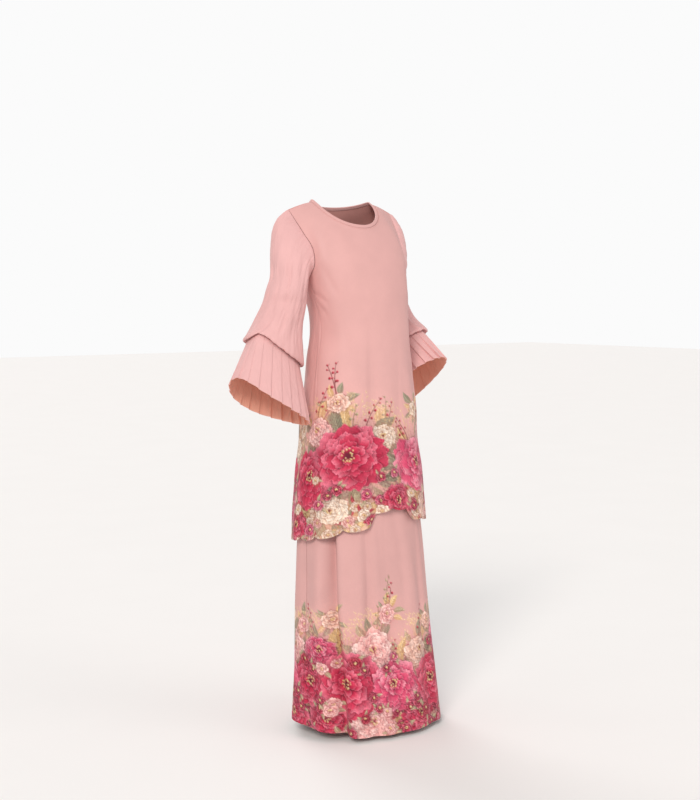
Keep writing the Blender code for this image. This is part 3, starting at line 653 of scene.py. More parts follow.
@dataclass
class ClothShell:
    """One closed wall of cloth: a fine outer face and a coarser inner face."""

    node: str
    outer: Array
    directions: Array
    thickness: float
    closed: bool = False
    row_step: int = 3
    column_step: int = 3

    def build(self, finish: "Finish", slot: str, held: str, colours: Optional[Array] = None) -> None:
        """Args:
            finish: The cloth's finish, which also gives the colour of an unprinted face.
            slot: Not used.
            held: Not used.
            colours: Linear print colours of the outer face.
        """
        mesh = GridMesh(self.node + "_cloth")
        ink = finish.ground() if colours is None else colours.reshape(self.outer.shape)
        outer = mesh.add_points(self.outer, ink)
        rows, columns = slice(None, None, self.row_step), slice(None, None, self.column_step)
        inner_points = (self.outer - self.thickness * self.directions)[rows, columns]
        inner = mesh.add_points(inner_points, finish.wrong_side())
        mesh.add_quads(outer, self.closed, True)
        mesh.add_quads(inner, self.closed, False)
        if self.closed:
            outer = np.concatenate((outer, outer[:, :1]), axis=1)
            inner = np.concatenate((inner, inner[:, :1]), axis=1)
        mesh.add_strip(outer[0], inner[0])
        mesh.add_strip(outer[-1, ::-1], inner[-1, ::-1])
        if not self.closed:
            mesh.add_strip(outer[::-1, 0], inner[::-1, 0])
            mesh.add_strip(outer[:, -1], inner[:, -1])
        flat, area = self.flat_size()
        declare(mesh.finish(finish.material), self.node, flat)

    def flat_size(self) -> tuple[Pair, float]:
        """The greatest width and length of the cloth laid flat, and its area."""
        around = self.outer
        if self.closed:
            around = np.concatenate((around, around[:, :1]), axis=1)
        across = norm(np.diff(around, axis=1), axis=-1)
        down = norm(np.diff(around, axis=0), axis=-1)
        cells = (across[:-1] + across[1:]) / 2 * (down[:, :-1] + down[:, 1:]) / 2
        return (float(across.sum(axis=1).max()), float(down.sum(axis=0).max())), float(cells.sum())


# --- Tunic ---

class Side(Enum):
    """The wearer's right and left."""

    RIGHT = -1
    LEFT = 1

    @property
    def word(self) -> str:
        """The side's name in the names of pieces."""
        return self.name.lower()


class Panel(NamedTuple):
    """The outer face of a hanging panel, and the way out of the cloth at each of its points."""

    grid: Array
    directions: Array


@dataclass
class HangingGarment:
    """What the tunic's body and the skirt share: panels that hang, with a border painted at the hem.

    The cloth lies about crease_reach from the garment's middle. Its ripple grows over calm_length
    from calm_top down, and stitch_row is the row that carries the hem's stitches.
    """

    sections: Sequence[Section]
    folds: Sequence[Fold]
    hem: Sequence[HemPoint]
    creases: Sequence[Crease]
    crease_reach: float
    top: float
    upper_rows: int
    border_rows: int
    border_share: float
    seam_dip: float
    seam_dip_width: float
    hem_fold: float
    hem_step: float
    hem_spread: float
    ripple_seed: int
    ripple_size: float
    ripple_lengths: Triple
    calm_top: float
    calm_length: float
    stitch_row: int
    hem_ridge: float = 0.0004
    ripple_waves: int = 14
    wall: float = 0.0020
    panels: dict[str, Panel] = field(default_factory=dict)

    def row_heights(self, hem_angles: Array, drops: float | Array = 0.0) -> Array:
        """Heights of the rows from the top of the level rings down to the hem.

        Args:
            hem_angles: Angle at which each column reaches the hem.
            drops: How far scallops drop the hem at each column.

        Returns:
            One row of heights for each row of the panel.
        """
        upper = np.linspace(0.0, self.border_share, self.upper_rows + 1)
        lower = np.linspace(self.border_share, 1.0, self.border_rows + 1)
        shares = np.concatenate((upper, lower[1:]))[:, None]
        return self.top + (hem_heights(self.hem, hem_angles) - drops - self.top) * shares

    def relief(self, grid: Array, hem_angles: Array) -> Array:
        """How far creases, seams, hem and unevenness move each point of a panel out or in."""
        heights = grid[..., 2]
        angles = np.broadcast_to(hem_angles, heights.shape)
        move = -crease_relief(self.creases, angles, heights, self.crease_reach)
        calm = eased((self.calm_top - heights) / self.calm_length)
        place = (np.sin(np.radians(angles)), np.cos(np.radians(angles)), heights)
        move += self.ripple_size * calm * ripple(self.ripple_seed, place, self.ripple_lengths,
                                                 self.ripple_waves)
        across = lengths_along(grid, 1)
        edge = np.minimum(across, across[:, -1:] - across)
        move -= self.seam_dip * np.exp(-(edge / self.seam_dip_width) ** 2)
        down = lengths_along(grid, 0)
        from_hem = down[-1:] - down
        step = eased((self.hem_fold - from_hem) / self.hem_step) * 2 - 1
        move += self.hem_ridge * step * np.exp(-((from_hem - self.hem_fold) / self.hem_spread) ** 2)
        return move

    def settled(self, grid: Array) -> Array:
        """A panel's points once its cloth has settled, which here changes nothing."""
        return grid

    def hang(self, grids: dict[str, tuple[Array, Array]], border: "Border", satin: "Finish") -> None:
        """Build the panels with their painted border.

        Args:
            grids: By its node, each panel's outer face and the hem angles of its columns.
            border: The border.
            satin: The cloth.
        """
        painter = BorderPainter(self.sections, border, satin.ground())
        for node, (grid, hem_angles) in grids.items():
            directions = wall_directions(grid, False)
            moved = grid + directions * self.relief(grid, hem_angles)[..., None]
            self.panels[node] = Panel(self.settled(moved), directions)
            painter.add(node, hem_angles, grid[..., 2])
        painter.paint()
        for node, panel in self.panels.items():
            shell = ClothShell(node, panel.grid, panel.directions, self.wall)
            shell.build(satin, "satin", "hung", painter.result[node])


@dataclass
class TunicBody(HangingGarment):
    """The tunic without its sleeves: front, back and two flared side panels."""

    sections: Sequence[Section] = TUNIC_SECTIONS
    folds: Sequence[Fold] = TUNIC_FOLDS
    hem: Sequence[HemPoint] = TUNIC_HEM
    creases: Sequence[Crease] = TUNIC_CREASES
    crease_reach: float = 0.150
    top: float = UNDERARM_HEIGHT
    upper_rows: int = 36
    border_rows: int = 201
    border_share: float = 0.30
    seam_dip: float = 0.0006
    seam_dip_width: float = 0.0022
    hem_fold: float = 0.007
    hem_step: float = 0.002
    hem_spread: float = 0.006
    ripple_seed: int = 11
    ripple_size: float = 0.0011
    ripple_lengths: Triple = (1.0, 1.0, 0.22)
    calm_top: float = -0.01
    calm_length: float = 0.08
    stitch_row: int = -4
    columns_per_step: int = 6
    yoke_rows_per_step: int = 6
    side_columns_per_step: int = 18
    neck_settle: float = 0.0078
    neck_settle_reach: Triple = (0.036, 0.013, 0.013)
    armhole_reach: float = 0.018
    joint_rows: float = 5.0
    joint_passes: int = 60

    def seam_angle(self, heights: Array) -> Array:
        """Angle of the front seam of the left side panel at some heights."""
        drop = UNDERARM_HEIGHT - self.sections[-1].height
        share = np.clip((UNDERARM_HEIGHT - heights) / drop, 0, 1) ** SIDE_SEAM_CURVE
        return SIDE_SEAM_TOP_ANGLE + (SIDE_SEAM_HEM_ANGLE - SIDE_SEAM_TOP_ANGLE) * share

    def seam_turn(self) -> float:
        """Turn that leaves half a seam gap at the hem's radius, in degrees."""
        return float(np.degrees(SEAM_GAP / 2 / self.sections[-1].half_depth))

    def neck_steps(self, is_front: bool) -> int:
        """Steps of half a neckline."""
        scallops = FRONT_SCALLOPS if is_front else BACK_SCALLOPS
        return sum(scallop.steps for scallop in scallops) // 2 - SHOULDER_STEPS

    def underarm_point(self, side: int, is_front: bool) -> Array:
        """Top of the seam between a body panel and the side panel."""
        seam = float(self.seam_angle(UNDERARM_HEIGHT)) - self.seam_turn()
        angle = side * (seam if is_front else 180.0 - seam)
        return ring_points(self.sections, self.folds, UNDERARM_HEIGHT, angle, angle)

    def armhole_line(self, side: int, is_front: bool, steps: int) -> Array:
        """Points from the underarm up to the shoulder tip."""
        keys = [self.underarm_point(side, is_front)]
        for x, y, z in reversed(ARMHOLE_FRONT if is_front else ARMHOLE_BACK):
            keys.append(np.array((side * x + ring_sizes(self.sections, z)[0], y, z)))
        keys.append(np.array(SHOULDER_TIP) * (side, 1, 1))
        return curve_points(keys, steps)

    def underarm_edge(self, side: int, steps: int) -> Array:
        """Top edge of a side panel, from its front seam to its back seam."""
        share = np.linspace(0.0, 1.0, steps + 1)
        seam = float(self.seam_angle(UNDERARM_HEIGHT)) + self.seam_turn()
        hem_angles = side * (SIDE_SEAM_HEM_ANGLE + (180.0 - 2 * SIDE_SEAM_HEM_ANGLE) * share)
        angles = side * (seam + (180.0 - 2 * seam) * share)
        heights = np.full(steps + 1, UNDERARM_HEIGHT)
        return ring_points(self.sections, self.folds, heights, angles, hem_angles)

    def half_top_edge(self, side: int, is_front: bool) -> tuple[Array, Array]:
        """Top edge of half a panel from shoulder tip to its centre, and how the cloth falls there."""
        k = self.columns_per_step
        tip = np.array(SHOULDER_TIP) * (side, 1, 1)
        neck_point = np.array((side * NECK_HALF_WIDTH, 0.0, NECK_POINT_HEIGHT))
        shoulder = np.linspace(tip, neck_point, SHOULDER_STEPS * k + 1)
        drop, reach = ((NECK_FRONT_DROP, -NECK_FRONT_REACH) if is_front
                       else (NECK_BACK_DROP, NECK_BACK_REACH))
        turns = np.linspace(0.0, pi / 2, self.neck_steps(is_front) * k + 1)
        neck = np.stack((side * NECK_HALF_WIDTH * np.cos(turns), reach * np.sin(turns),
                         NECK_POINT_HEIGHT - drop * np.sin(turns)), axis=1)
        half_gap = np.array((0.0, SEAM_GAP / 2 * (-1 if is_front else 1), 0.0))
        points = np.concatenate((shoulder[:-1] + half_gap, neck))
        points[SHOULDER_STEPS * k] += half_gap
        fall = FRONT_FALL if is_front else BACK_FALL
        falls = np.concatenate((np.linspace(fall.tip, fall.neck, SHOULDER_STEPS * k + 1),
                                np.linspace(fall.neck, fall.centre, len(neck))[1:]))
        return points, unit(falls) * (side, 1.0, 1.0)

    def hem_columns(self, scallops: Sequence[Scallop]) -> tuple[Array, Array]:
        """Hem angles of a body panel's columns, and how far its scallops drop at each."""
        angles, drops = [np.array((-SIDE_SEAM_HEM_ANGLE,))], [np.zeros(1)]
        start = -SIDE_SEAM_HEM_ANGLE
        for scallop in scallops:
            width = scallop.end_angle - start
            count = scallop.steps * self.columns_per_step
            share = np.arange(1, count + 1) / count
            angles.append(start + width * share)
            drops.append(SCALLOP_DEPTH * min(width / WIDEST_SCALLOP, 1.0) * scallop_drop(share))
            start = scallop.end_angle
        return np.concatenate(angles), np.concatenate(drops)

    def body_panel(self, is_front: bool) -> tuple[Array, Array]:
        """Outer face of the front or back panel and the hem angles of its columns."""
        places, drops = self.hem_columns(FRONT_SCALLOPS if is_front else BACK_SCALLOPS)
        middle = 0.0 if is_front else 180.0
        hem_angles = places + middle
        heights = self.row_heights(hem_angles, drops)
        angles = middle + places / SIDE_SEAM_HEM_ANGLE * (self.seam_angle(heights) - self.seam_turn())
        below = ring_points(self.sections, self.folds, heights, angles, hem_angles[None, :])
        first = -1 if is_front else 1
        halves = [self.half_top_edge(side, is_front) for side in (first, -first)]
        tops = np.concatenate((halves[0][0], halves[1][0][::-1][1:]))
        falls = np.concatenate((halves[0][1], halves[1][1][::-1][1:]))
        reach = norm(below[0] - tops, axis=1, keepdims=True)
        row_count = ARMHOLE_STEPS * self.yoke_rows_per_step
        shares = (np.arange(row_count) / row_count)[:, None, None]
        down = unit(below[1] - below[0])
        yoke = hermite(tops, below[0], falls * reach * FALL_STRENGTH, down * reach, shares)
        half = len(places) // 2
        weight = ((1 - np.arange(half) / half) ** ARMHOLE_PULL)[None, :, None]
        for side, columns in ((first, slice(0, half)), (-first, slice(None, -half - 1, -1))):
            edge = self.armhole_line(side, is_front, row_count)[::-1][:row_count]
            order = yoke[:, columns]
            edge[0] = order[0, 0]
            yoke[:, columns] = order + (edge - order[:, 0])[:, None] * weight
        grid = np.concatenate((self.ease_yoke(yoke), below))
        return self.ease_joint(grid, row_count), hem_angles

    def ease_yoke(self, yoke: Array) -> Array:
        """Ease the corners at the neck points out of the yoke, except along its edges."""
        passes = EASING_PASSES * self.columns_per_step ** 2
        soft = yoke.copy()
        for _ in range(passes):
            soft[:, 1:-1] = (soft[:, :-2] + 2 * soft[:, 1:-1] + soft[:, 2:]) / 4
        rows = np.arange(len(yoke)) / self.yoke_rows_per_step
        share = eased(np.minimum(rows, ARMHOLE_STEPS - rows))[:, None, None]
        return yoke + (soft - yoke) * share

    def ease_joint(self, grid: Array, joint: int) -> Array:
        """Ease the line where the yoke goes over into the level rings, except at the panel's sides."""
        columns = np.arange(grid.shape[1])
        from_side = np.minimum(columns, columns[::-1]) / (3 * self.columns_per_step)
        rows = np.exp(-((np.arange(len(grid)) - joint) / self.joint_rows) ** 2)
        share = (rows[:, None] * eased(from_side))[1:-1, :, None]
        for _ in range(self.joint_passes):
            grid[1:-1] += (grid[:-2] - 2 * grid[1:-1] + grid[2:]) / 4 * share
        return grid

    def side_panel(self, side: int) -> tuple[Array, Array]:
        """Outer face of a side panel and the hem angles of its columns."""
        share = np.linspace(0.0, 1.0, UNDERARM_STEPS * self.side_columns_per_step + 1)
        hem_angles = side * (SIDE_SEAM_HEM_ANGLE + (180.0 - 2 * SIDE_SEAM_HEM_ANGLE) * share)
        drops = SCALLOP_DEPTH * SIDE_SCALLOP_SHARE * scallop_drop(share * SCALLOPS_PER_SIDE % 1.0)
        heights = self.row_heights(hem_angles, drops)
        seam = self.seam_angle(heights) + self.seam_turn()
        angles = side * (seam + (180.0 - 2 * seam) * share)
        grid = ring_points(self.sections, self.folds, heights, angles, hem_angles[None, :])
        if side < 0:
            return grid[:, ::-1], hem_angles[::-1]
        return grid, hem_angles

    def relief(self, grid: Array, hem_angles: Array) -> Array:
        """The relief, which dies out at the armholes, where the sleeves meet the panels."""
        return super().relief(grid, hem_angles) * self.armhole_calm(grid)

    def armhole_calm(self, grid: Array) -> Array:
        """How far relief may show at each point, from 0 at an armhole to 1 away from it."""
        calm = np.ones(grid.shape[:-1])
        rows = grid[..., 2].max(axis=1) > UNDERARM_HEIGHT - self.armhole_reach
        steps = ARMHOLE_STEPS * self.yoke_rows_per_step
        under = UNDERARM_STEPS * self.yoke_rows_per_step
        for side in Side:
            lines = [self.armhole_line(side.value, is_front, steps) for is_front in (True, False)]
            loop = np.concatenate((*lines, self.underarm_edge(side.value, under)))
            away = norm(grid[rows][:, :, None] - loop, axis=-1).min(axis=-1)
            calm[rows] *= eased(away / self.armhole_reach)
        return calm

    def settled(self, grid: Array) -> Array:
        """A panel's points with the cloth let down round the neck points, which rounds the neckline."""
        drop = np.zeros(grid.shape[:-1])
        for side in Side:
            away = grid - (side.value * NECK_HALF_WIDTH, 0.0, NECK_POINT_HEIGHT)
            drop += self.neck_settle * np.exp(-norm(away / self.neck_settle_reach, axis=-1))
        grid[..., 2] -= drop
        return grid

    def build(self, satin: "Finish") -> None:
        """Build the four panels with their painted border."""
        grids = {"tunic_front": self.body_panel(True), "tunic_back": self.body_panel(False)}
        for side in Side:
            grids["tunic_side_" + side.word] = self.side_panel(side.value)
        self.hang(grids, TUNIC_BORDER, satin)

    def neck_edge(self) -> tuple[Array, Array, int]:
        """The neckline round the front and the back, the way out of the cloth, and a side's steps."""
        k = self.columns_per_step
        front, back = self.panels["tunic_front"], self.panels["tunic_back"]
        tip = SHOULDER_STEPS * k
        edge, outward = (np.concatenate((ahead[0, tip:-tip], behind[0, tip + 1:-tip - 1]))
                         for ahead, behind in zip(front, back))
        return edge, outward, self.neck_steps(True) * k


@dataclass
class NeckBinding:
    """Narrow binding of the same satin, folded over the neckline's edge."""

    gap: float = 0.0008
    width: float = 0.009
    thickness: float = 0.003
    edge: float = 0.0004
    crown: float = 0.0007
    crown_steps: int = 7
    easing: int = 24

    def section(self) -> list[Pair]:
        """Corners of its section: how far in from the neckline, and how far out of the cloth."""
        turns = np.linspace(0.0, pi, self.crown_steps)
        middle = self.gap + self.width / 2
        top = [(middle - np.cos(t) * self.width / 2, self.crown * np.sin(t) ** 0.5 - self.edge)
               for t in turns]
        bottom = [(x, self.edge - self.thickness - (self.edge if 0 < i < len(turns) - 1 else 0.0))
                  for i, (x, _) in enumerate(reversed(top))]
        return top + bottom

    def build(self, body: TunicBody, satin: "Finish") -> None:
        """Build the binding round the neckline of the tunic."""
        edge, outward, half = body.neck_edge()
        for _ in range(self.easing):
            outward = unit(np.roll(outward, 1, axis=0) + 2 * outward + np.roll(outward, -1, axis=0))
        along = unit(np.roll(edge, -1, axis=0) - np.roll(edge, 1, axis=0))
        inward = unit(np.cross(along, outward))
        if inward[half][2] < 0:
            inward = -inward
        loops = np.array([edge + inward * x + outward * y for x, y in self.section()])
        girth = float(norm(np.diff(edge, axis=0), axis=1).sum())
        build_band("neck_binding", loops, satin, (girth, self.width + self.thickness))


# --- Sleeves ---

def oval_points(ring: Oval, turns: Array) -> Array:
    """Points of an oval ring at the given turns (radians from its outer end to the front)."""
    centre, out, front = np.array(ring)
    turns = np.asarray(turns)[:, None]
    return centre + np.cos(turns) * out + np.sin(turns) * front


def lifted(ring: Array, turns: Array, lifts: Sequence[Lift]) -> Array:
    """A ring of points with parts of it raised or let down."""
    ring = ring.copy()
    for lift in lifts:
        ring[:, 2] += lift.rise * np.exp(-(turn_between(np.degrees(turns), lift.angle) / lift.width) ** 2)
    return ring


@dataclass
class SleeveTier:
    """Upper tier of a sleeve: set in at the armhole, full at the elbow, turned under at its edge.

    Billows are slow waves, as many times the crinkle's height as billow says. Shares are of the
    way down the tier.
    """

    side: Side
    body: TunicBody
    head_fullness: float
    rings: Sequence[Oval]
    lifts: Sequence[Lift]
    creases: Sequence[Crease]
    swing: float = 0.0
    crease_reach: float = 0.056
    wall: float = 0.0012
    columns_per_step: int = 9
    rows_per_step: int = 9
    lip_rows: tuple[int, int] = (9, 9)
    lip_radius: float = 0.006
    lip_inset: float = 0.011
    lip_rise: float = 0.013
    lip_turn: float = 0.7
    lip_roundness: float = 1.6
    crinkle: float = 0.00045
    crinkle_lengths: Triple = (0.16, 0.16, 0.10)
    crinkle_waves: int = 26
    billow: float = 2.2
    billow_lengths: Triple = (0.7, 0.7, 0.16)
    billow_waves: int = 12
    puckers: int = 46
    pucker: float = 0.0012
    pucker_share: float = 0.02
    pucker_spread: float = 0.035
    seam_dip: float = 0.0008
    seam_dip_share: float = 0.008
    calm_rows: int = 10
    head_rows: int = 54
    head_start_rows: int = 5
    head_fade_rows: int = 18
    head_least: float = 0.4
    head_passes: int = 150

    def turns(self) -> Array:
        """Where the columns lie round the sleeve, in radians."""
        count = (2 * ARMHOLE_STEPS + UNDERARM_STEPS) * self.columns_per_step
        return np.arange(count) * 2 * pi / count

    def rows(self) -> Array:
        """Rows from the armhole to the lower edge, as seen from outside."""
        k, side, turns = self.columns_per_step, self.side.value, self.turns()
        front = self.body.armhole_line(side, True, ARMHOLE_STEPS * k)[::-1]
        back = self.body.armhole_line(side, False, ARMHOLE_STEPS * k)
        under = self.body.underarm_edge(side, UNDERARM_STEPS * k)
        start = np.concatenate((front[:-1], under, back[1:-1])) + (side * ARMHOLE_GAP, 0.0, 0.0)
        start[:, 2] += ARMHOLE_GAP * UNDERARM_LIFT * np.clip(-np.cos(turns), 0.0, 1.0)
        swing = self.swing * (1 - np.cos(turns)) / 2
        shares = np.linspace(1.0, 0.0, len(self.rings) - 1)
        rings = [start] + [oval_points(ring, turns - swing * share)
                           for ring, share in zip(self.rings[:-1], shares)]
        rings.append(lifted(oval_points(self.rings[-1], turns), turns, self.lifts))
        reach = norm(rings[1] - rings[0], axis=1, keepdims=True)
        leave = unit(np.stack((np.full(len(turns), side * HEAD_OUT), -HEAD_FORWARD * np.sin(turns),
                               HEAD_RISE * np.cos(turns) - HEAD_SINK), axis=1))
        steps = [count * self.rows_per_step for count in SLEEVE_ROWS]
        return self.ease_head(loft(rings, steps, first_slope=leave * reach * self.head_fullness))

    def ease_head(self, rows: Array) -> Array:
        """Round off the folds in which the cloth leaves the shoulder tip and the underarm."""
        number = np.arange(len(rows))[:, None]
        low = np.clip(-np.cos(self.turns()), 0.0, 1.0)
        share = eased(number / self.head_start_rows)
        share = share * eased((self.head_rows - number) / self.head_fade_rows)
        share = (share * (self.head_least + (1 - self.head_least) * low))[..., None]
        for _ in range(self.head_passes):
            rows = rows + (np.roll(rows, 1, axis=1) - 2 * rows + np.roll(rows, -1, axis=1)) / 4 * share
        return rows

    def lip_frame(self, rows: Array) -> tuple[Array, Array]:
        """At the lower edge: the way down along the cloth, and the way out of it."""
        down = unit(rows[-1] - rows[-1 - self.rows_per_step])
        k = self.columns_per_step
        outward = unit(np.cross(np.roll(rows[-1], -k, axis=0) - np.roll(rows[-1], k, axis=0), down))
        if np.sum(outward * (rows[-1] - rows[-1].mean(axis=0))) < 0:
            outward = -outward
        return down, outward

    def build(self, chiffon: "Finish") -> None:
        """Build the tier with its turned-under edge."""
        rows = self.rows()
        down, outward = self.lip_frame(rows)
        edge = rows[-1]
        turn = edge + down * self.lip_radius - outward * self.lip_radius * self.lip_turn
        end = edge - down * self.lip_rise - outward * self.lip_inset
        slope = down * self.lip_radius * self.lip_roundness
        lip = loft([edge, turn, end], self.lip_rows, first_slope=slope)
        grid = np.concatenate((rows, lip[1:]))
        angles = np.degrees(self.turns())
        if self.side is Side.LEFT:
            grid, angles = grid[:, ::-1], angles[::-1]
        directions = wall_directions(grid, True)
        grid = grid + directions * self.relief(grid, angles, len(rows))[..., None]
        shell = ClothShell("sleeve_" + self.side.word, grid, directions, self.wall, closed=True,
                           row_step=1, column_step=1)
        shell.build(chiffon, "chiffon", "hung")

    def relief(self, grid: Array, angles: Array, row_count: int) -> Array:
        """How far creases, crinkle and the eased-in head move each point out or in."""
        heights = grid[..., 2]
        angles = np.broadcast_to(angles, heights.shape)
        move = -crease_relief(self.creases, angles, heights, self.crease_reach)
        turns = np.radians(angles)
        place = (np.sin(turns), np.cos(turns), heights)
        seed = 30 + self.side.value
        move += self.crinkle * ripple(seed, place, self.crinkle_lengths, self.crinkle_waves)
        move += self.billow * self.crinkle * ripple(seed + 7, place, self.billow_lengths,
                                                    self.billow_waves)
        from_head = np.arange(len(grid))[:, None] / row_count
        pucker = np.sin(turns * self.puckers + 2 * np.sin(turns * 3))
        upper = np.clip(np.cos(turns) + 0.35, 0.0, 1.0)
        near = np.exp(-((from_head - self.pucker_share) / self.pucker_spread) ** 2)
        move += self.pucker * pucker * upper * near
        from_end = (len(grid) - 1 - np.arange(len(grid)))[:, None]
        calm = eased(from_head / self.pucker_share) * eased(from_end / self.calm_rows)
        dip = self.seam_dip * np.exp(-(from_head / self.seam_dip_share) ** 2)
        return move * calm - dip


@dataclass
class PleatedFlounce:
    """Lower tier of a sleeve: knife pleats that hang from inside the turned-under edge."""

    tier: SleeveTier
    hem: Oval
    lifts: Sequence[Lift]
    wall: float = 0.0015
    pleats: int = 22
    rows: tuple[int, int] = (6, 54)
    depth_at_hem: float = 0.0066
    depth_at_seam: float = 0.0008
    share_at_lip: float = 0.06
    calm_outside: float = 0.45
    seam_drop: float = 0.001
    lip_clearance: float = 0.0005
    overhang: float = 0.055
    unevenness: float = 0.34
    sway_share: float = 0.10
    fold_curve: float = 0.82
    crinkle: float = 0.0004
    crinkle_lengths: Triple = (0.10, 0.10, 0.05)
    crinkle_waves: int = 24

    def columns(self) -> tuple[Array, Array]:
        """Where the columns lie, counted in pleats, and how deep each lies in its pleat."""
        shares = np.array(PLEAT_SHARES)
        rise = np.clip((shares - PLEAT_TOP_START) / (PLEAT_TOP_END - PLEAT_TOP_START), 0.0, 1.0)
        back = eased((shares - PLEAT_TOP_END - PLEAT_BACK_GAP) / (PLEAT_BACK_END - PLEAT_TOP_END))
        depth = np.where(shares < PLEAT_TOP_END, 1 - rise ** self.fold_curve, back)
        places = np.arange(self.pleats)[:, None] + shares
        return places.ravel(), np.tile(depth, self.pleats)

    def build(self, chiffon: "Finish") -> None:
        """Build the flounce."""
        side = self.tier.side
        places, wave = self.columns()
        turns = places / self.pleats * 2 * pi
        rows = self.tier.rows()
        down, outward = self.tier.lip_frame(rows)
        inset = self.tier.lip_inset + FLOUNCE_GAP
        seam = rows[-1] - outward * inset - down * (self.tier.lip_rise - self.seam_drop)
        past_lip = rows[-1] - outward * (inset + self.lip_clearance) + down * self.tier.lip_radius
        hem = lifted(oval_points(self.hem, turns), turns, self.lifts)
        grid = loft([self.along(seam, turns), self.along(past_lip, turns), hem], self.rows)
        growth = np.concatenate((np.linspace(0.0, self.share_at_lip, self.rows[0], endpoint=False),
                                 np.linspace(self.share_at_lip, 1.0, self.rows[1] + 1)))
        if side is Side.LEFT:
            grid, wave, places = grid[:, ::-1], wave[::-1], places[::-1]
        directions = wall_directions(grid, True)
        step = np.roll(grid, -1, axis=1) - np.roll(grid, 1, axis=1)
        along = unit(step) * (1 if side is Side.RIGHT else -1)
        pleat_width = (norm(step, axis=-1).sum(axis=1) / 2 / self.pleats)[:, None]
        rng = np.random.default_rng(50 + side.value)
        sizes = 1 + self.unevenness * rng.uniform(-1, 1, self.pleats + 2)
        sway = np.cumsum(rng.uniform(-1, 1, self.pleats + 2))
        sway = (sway - np.linspace(sway[0], sway[-1], len(sway))) * self.sway_share
        number = np.arange(self.pleats + 2)
        size = np.interp(places, number, sizes)
        drift = np.interp(places, number, sway)
        depth = self.depth_at_seam + (self.depth_at_hem - self.depth_at_seam) * growth
        inner_side = (1 - np.cos(places / self.pleats * 2 * pi)) / 2
        calm = self.calm_outside + (1 - self.calm_outside) * inner_side
        sink = depth[:, None] * wave[None, :] * (size * calm)[None, :]
        lean = (self.overhang * (1 - wave) ** 2 + drift) * growth[:, None] * pleat_width
        place = (np.sin(turns[None, :]), np.cos(turns[None, :]), grid[..., 2])
        place = tuple(np.broadcast_to(p, sink.shape) for p in place)
        fine = self.crinkle * growth[:, None] * ripple(60 + side.value, place, self.crinkle_lengths,
                                                       self.crinkle_waves)
        grid = grid - directions * (sink - fine)[..., None] + along * lean[..., None]
        shell = ClothShell("flounce_" + side.word, grid, wall_directions(grid, True), self.wall,
                           closed=True, column_step=1)
        shell.build(chiffon, "chiffon", "gathered")

    def along(self, ring: Array, turns: Array) -> Array:
        """Points on the straight sides of a ring at the given turns."""
        count = len(ring)
        places = turns / (2 * pi) * count
        low = np.floor(places).astype(int)
        share = (places - low)[:, None]
        return ring[low % count] * (1 - share) + ring[(low + 1) % count] * share


# --- Skirt ---

@dataclass
class Skirt(HangingGarment):
    """Long skirt: front and back panels with long soft folds, and an elastic waistband."""

    sections: Sequence[Section] = SKIRT_SECTIONS
    folds: Sequence[Fold] = SKIRT_FOLDS
    hem: Sequence[HemPoint] = SKIRT_HEM
    creases: Sequence[Crease] = SKIRT_CREASES
    crease_reach: float = 0.180
    top: float = WAIST_HEIGHT
    upper_rows: int = 75
    border_rows: int = 183
    border_share: float = 0.60
    seam_dip: float = 0.0004
    seam_dip_width: float = 0.0025
    hem_fold: float = 0.020
    hem_step: float = 0.003
    hem_spread: float = 0.008
    ripple_seed: int = 21
    ripple_size: float = 0.0014
    ripple_lengths: Triple = (0.9, 0.9, 0.55)
    calm_top: float = WAIST_HEIGHT
    calm_length: float = 0.12
    stitch_row: int = -11
    front_columns: int = 270
    back_columns: int = 240
    band_depth: float = 0.030
    band_thickness: float = 0.003
    band_outset: float = 0.0005
    band_edge: float = 0.0008
    band_columns: int = 320
    band_ribs: int = 80
    band_rib_depth: float = 0.0004

    def panel(self, columns: int, middle: float) -> tuple[Array, Array]:
        """Outer face of a panel and the angles of its columns."""
        seam = np.degrees(SEAM_GAP / 2 / self.sections[0].half_depth)
        angles = np.linspace(-90.0 + seam, 90.0 - seam, columns + 1) + middle
        return ring_points(self.sections, self.folds, self.row_heights(angles), angles[None, :],
                           angles[None, :]), angles

    def build(self, satin: "Finish") -> None:
        """Build both panels with their painted border."""
        self.hang({"skirt_front": self.panel(self.front_columns, 0.0),
                   "skirt_back": self.panel(self.back_columns, 180.0)}, SKIRT_BORDER, satin)

    def build_waistband(self, elastic: "Finish") -> None:
        """Build the ribbed elastic waistband that stands on the skirt's top edge."""
        angles = np.arange(self.band_columns) * 360.0 / self.band_columns
        ring = ring_points(self.sections, (), np.full(len(angles), WAIST_HEIGHT), angles, angles)
        outward = unit(ring - ring.mean(axis=0))
        rib = self.band_rib_depth * np.cos(np.radians(angles) * self.band_ribs)[:, None]
        bottom = WAIST_HEIGHT + SEAM_GAP
        top = bottom + self.band_depth
        edge, out = self.band_edge, self.band_outset
        inside = out - self.band_thickness
        profile = ((out - edge, bottom, 0), (out, bottom + edge, 1), (out, (bottom + top) / 2, 1),
                   (out, top - edge, 1), (out - edge, top, 0), (inside + edge, top, 0),
                   (inside, top - edge, 0), (inside, bottom + edge, 0), (inside + edge, bottom, 0))
        loops = np.array([ring + outward * (outset + rib * ribbed) for outset, _, ribbed in profile])
        loops[..., 2] = np.array([height for _, height, _ in profile])[:, None]
        girth = float(norm(np.diff(ring, axis=0), axis=1).sum())
        build_band("skirt_waistband", loops, elastic,
                   (girth, self.band_depth + self.band_thickness))


# --- Painted border ---

def polar(way: float, out: float, base: Pair = (0.0, 0.0)) -> Pair:
    """The place that far out from a base in a direction, in radians from level."""
    return base[0] + cos(way) * out, base[1] + sin(way) * out


def pick(tones: Sequence["Tone"], rng: np.random.Generator) -> "Tone":
    """One of some tones, at random."""
    return tones[int(rng.integers(len(tones)))]


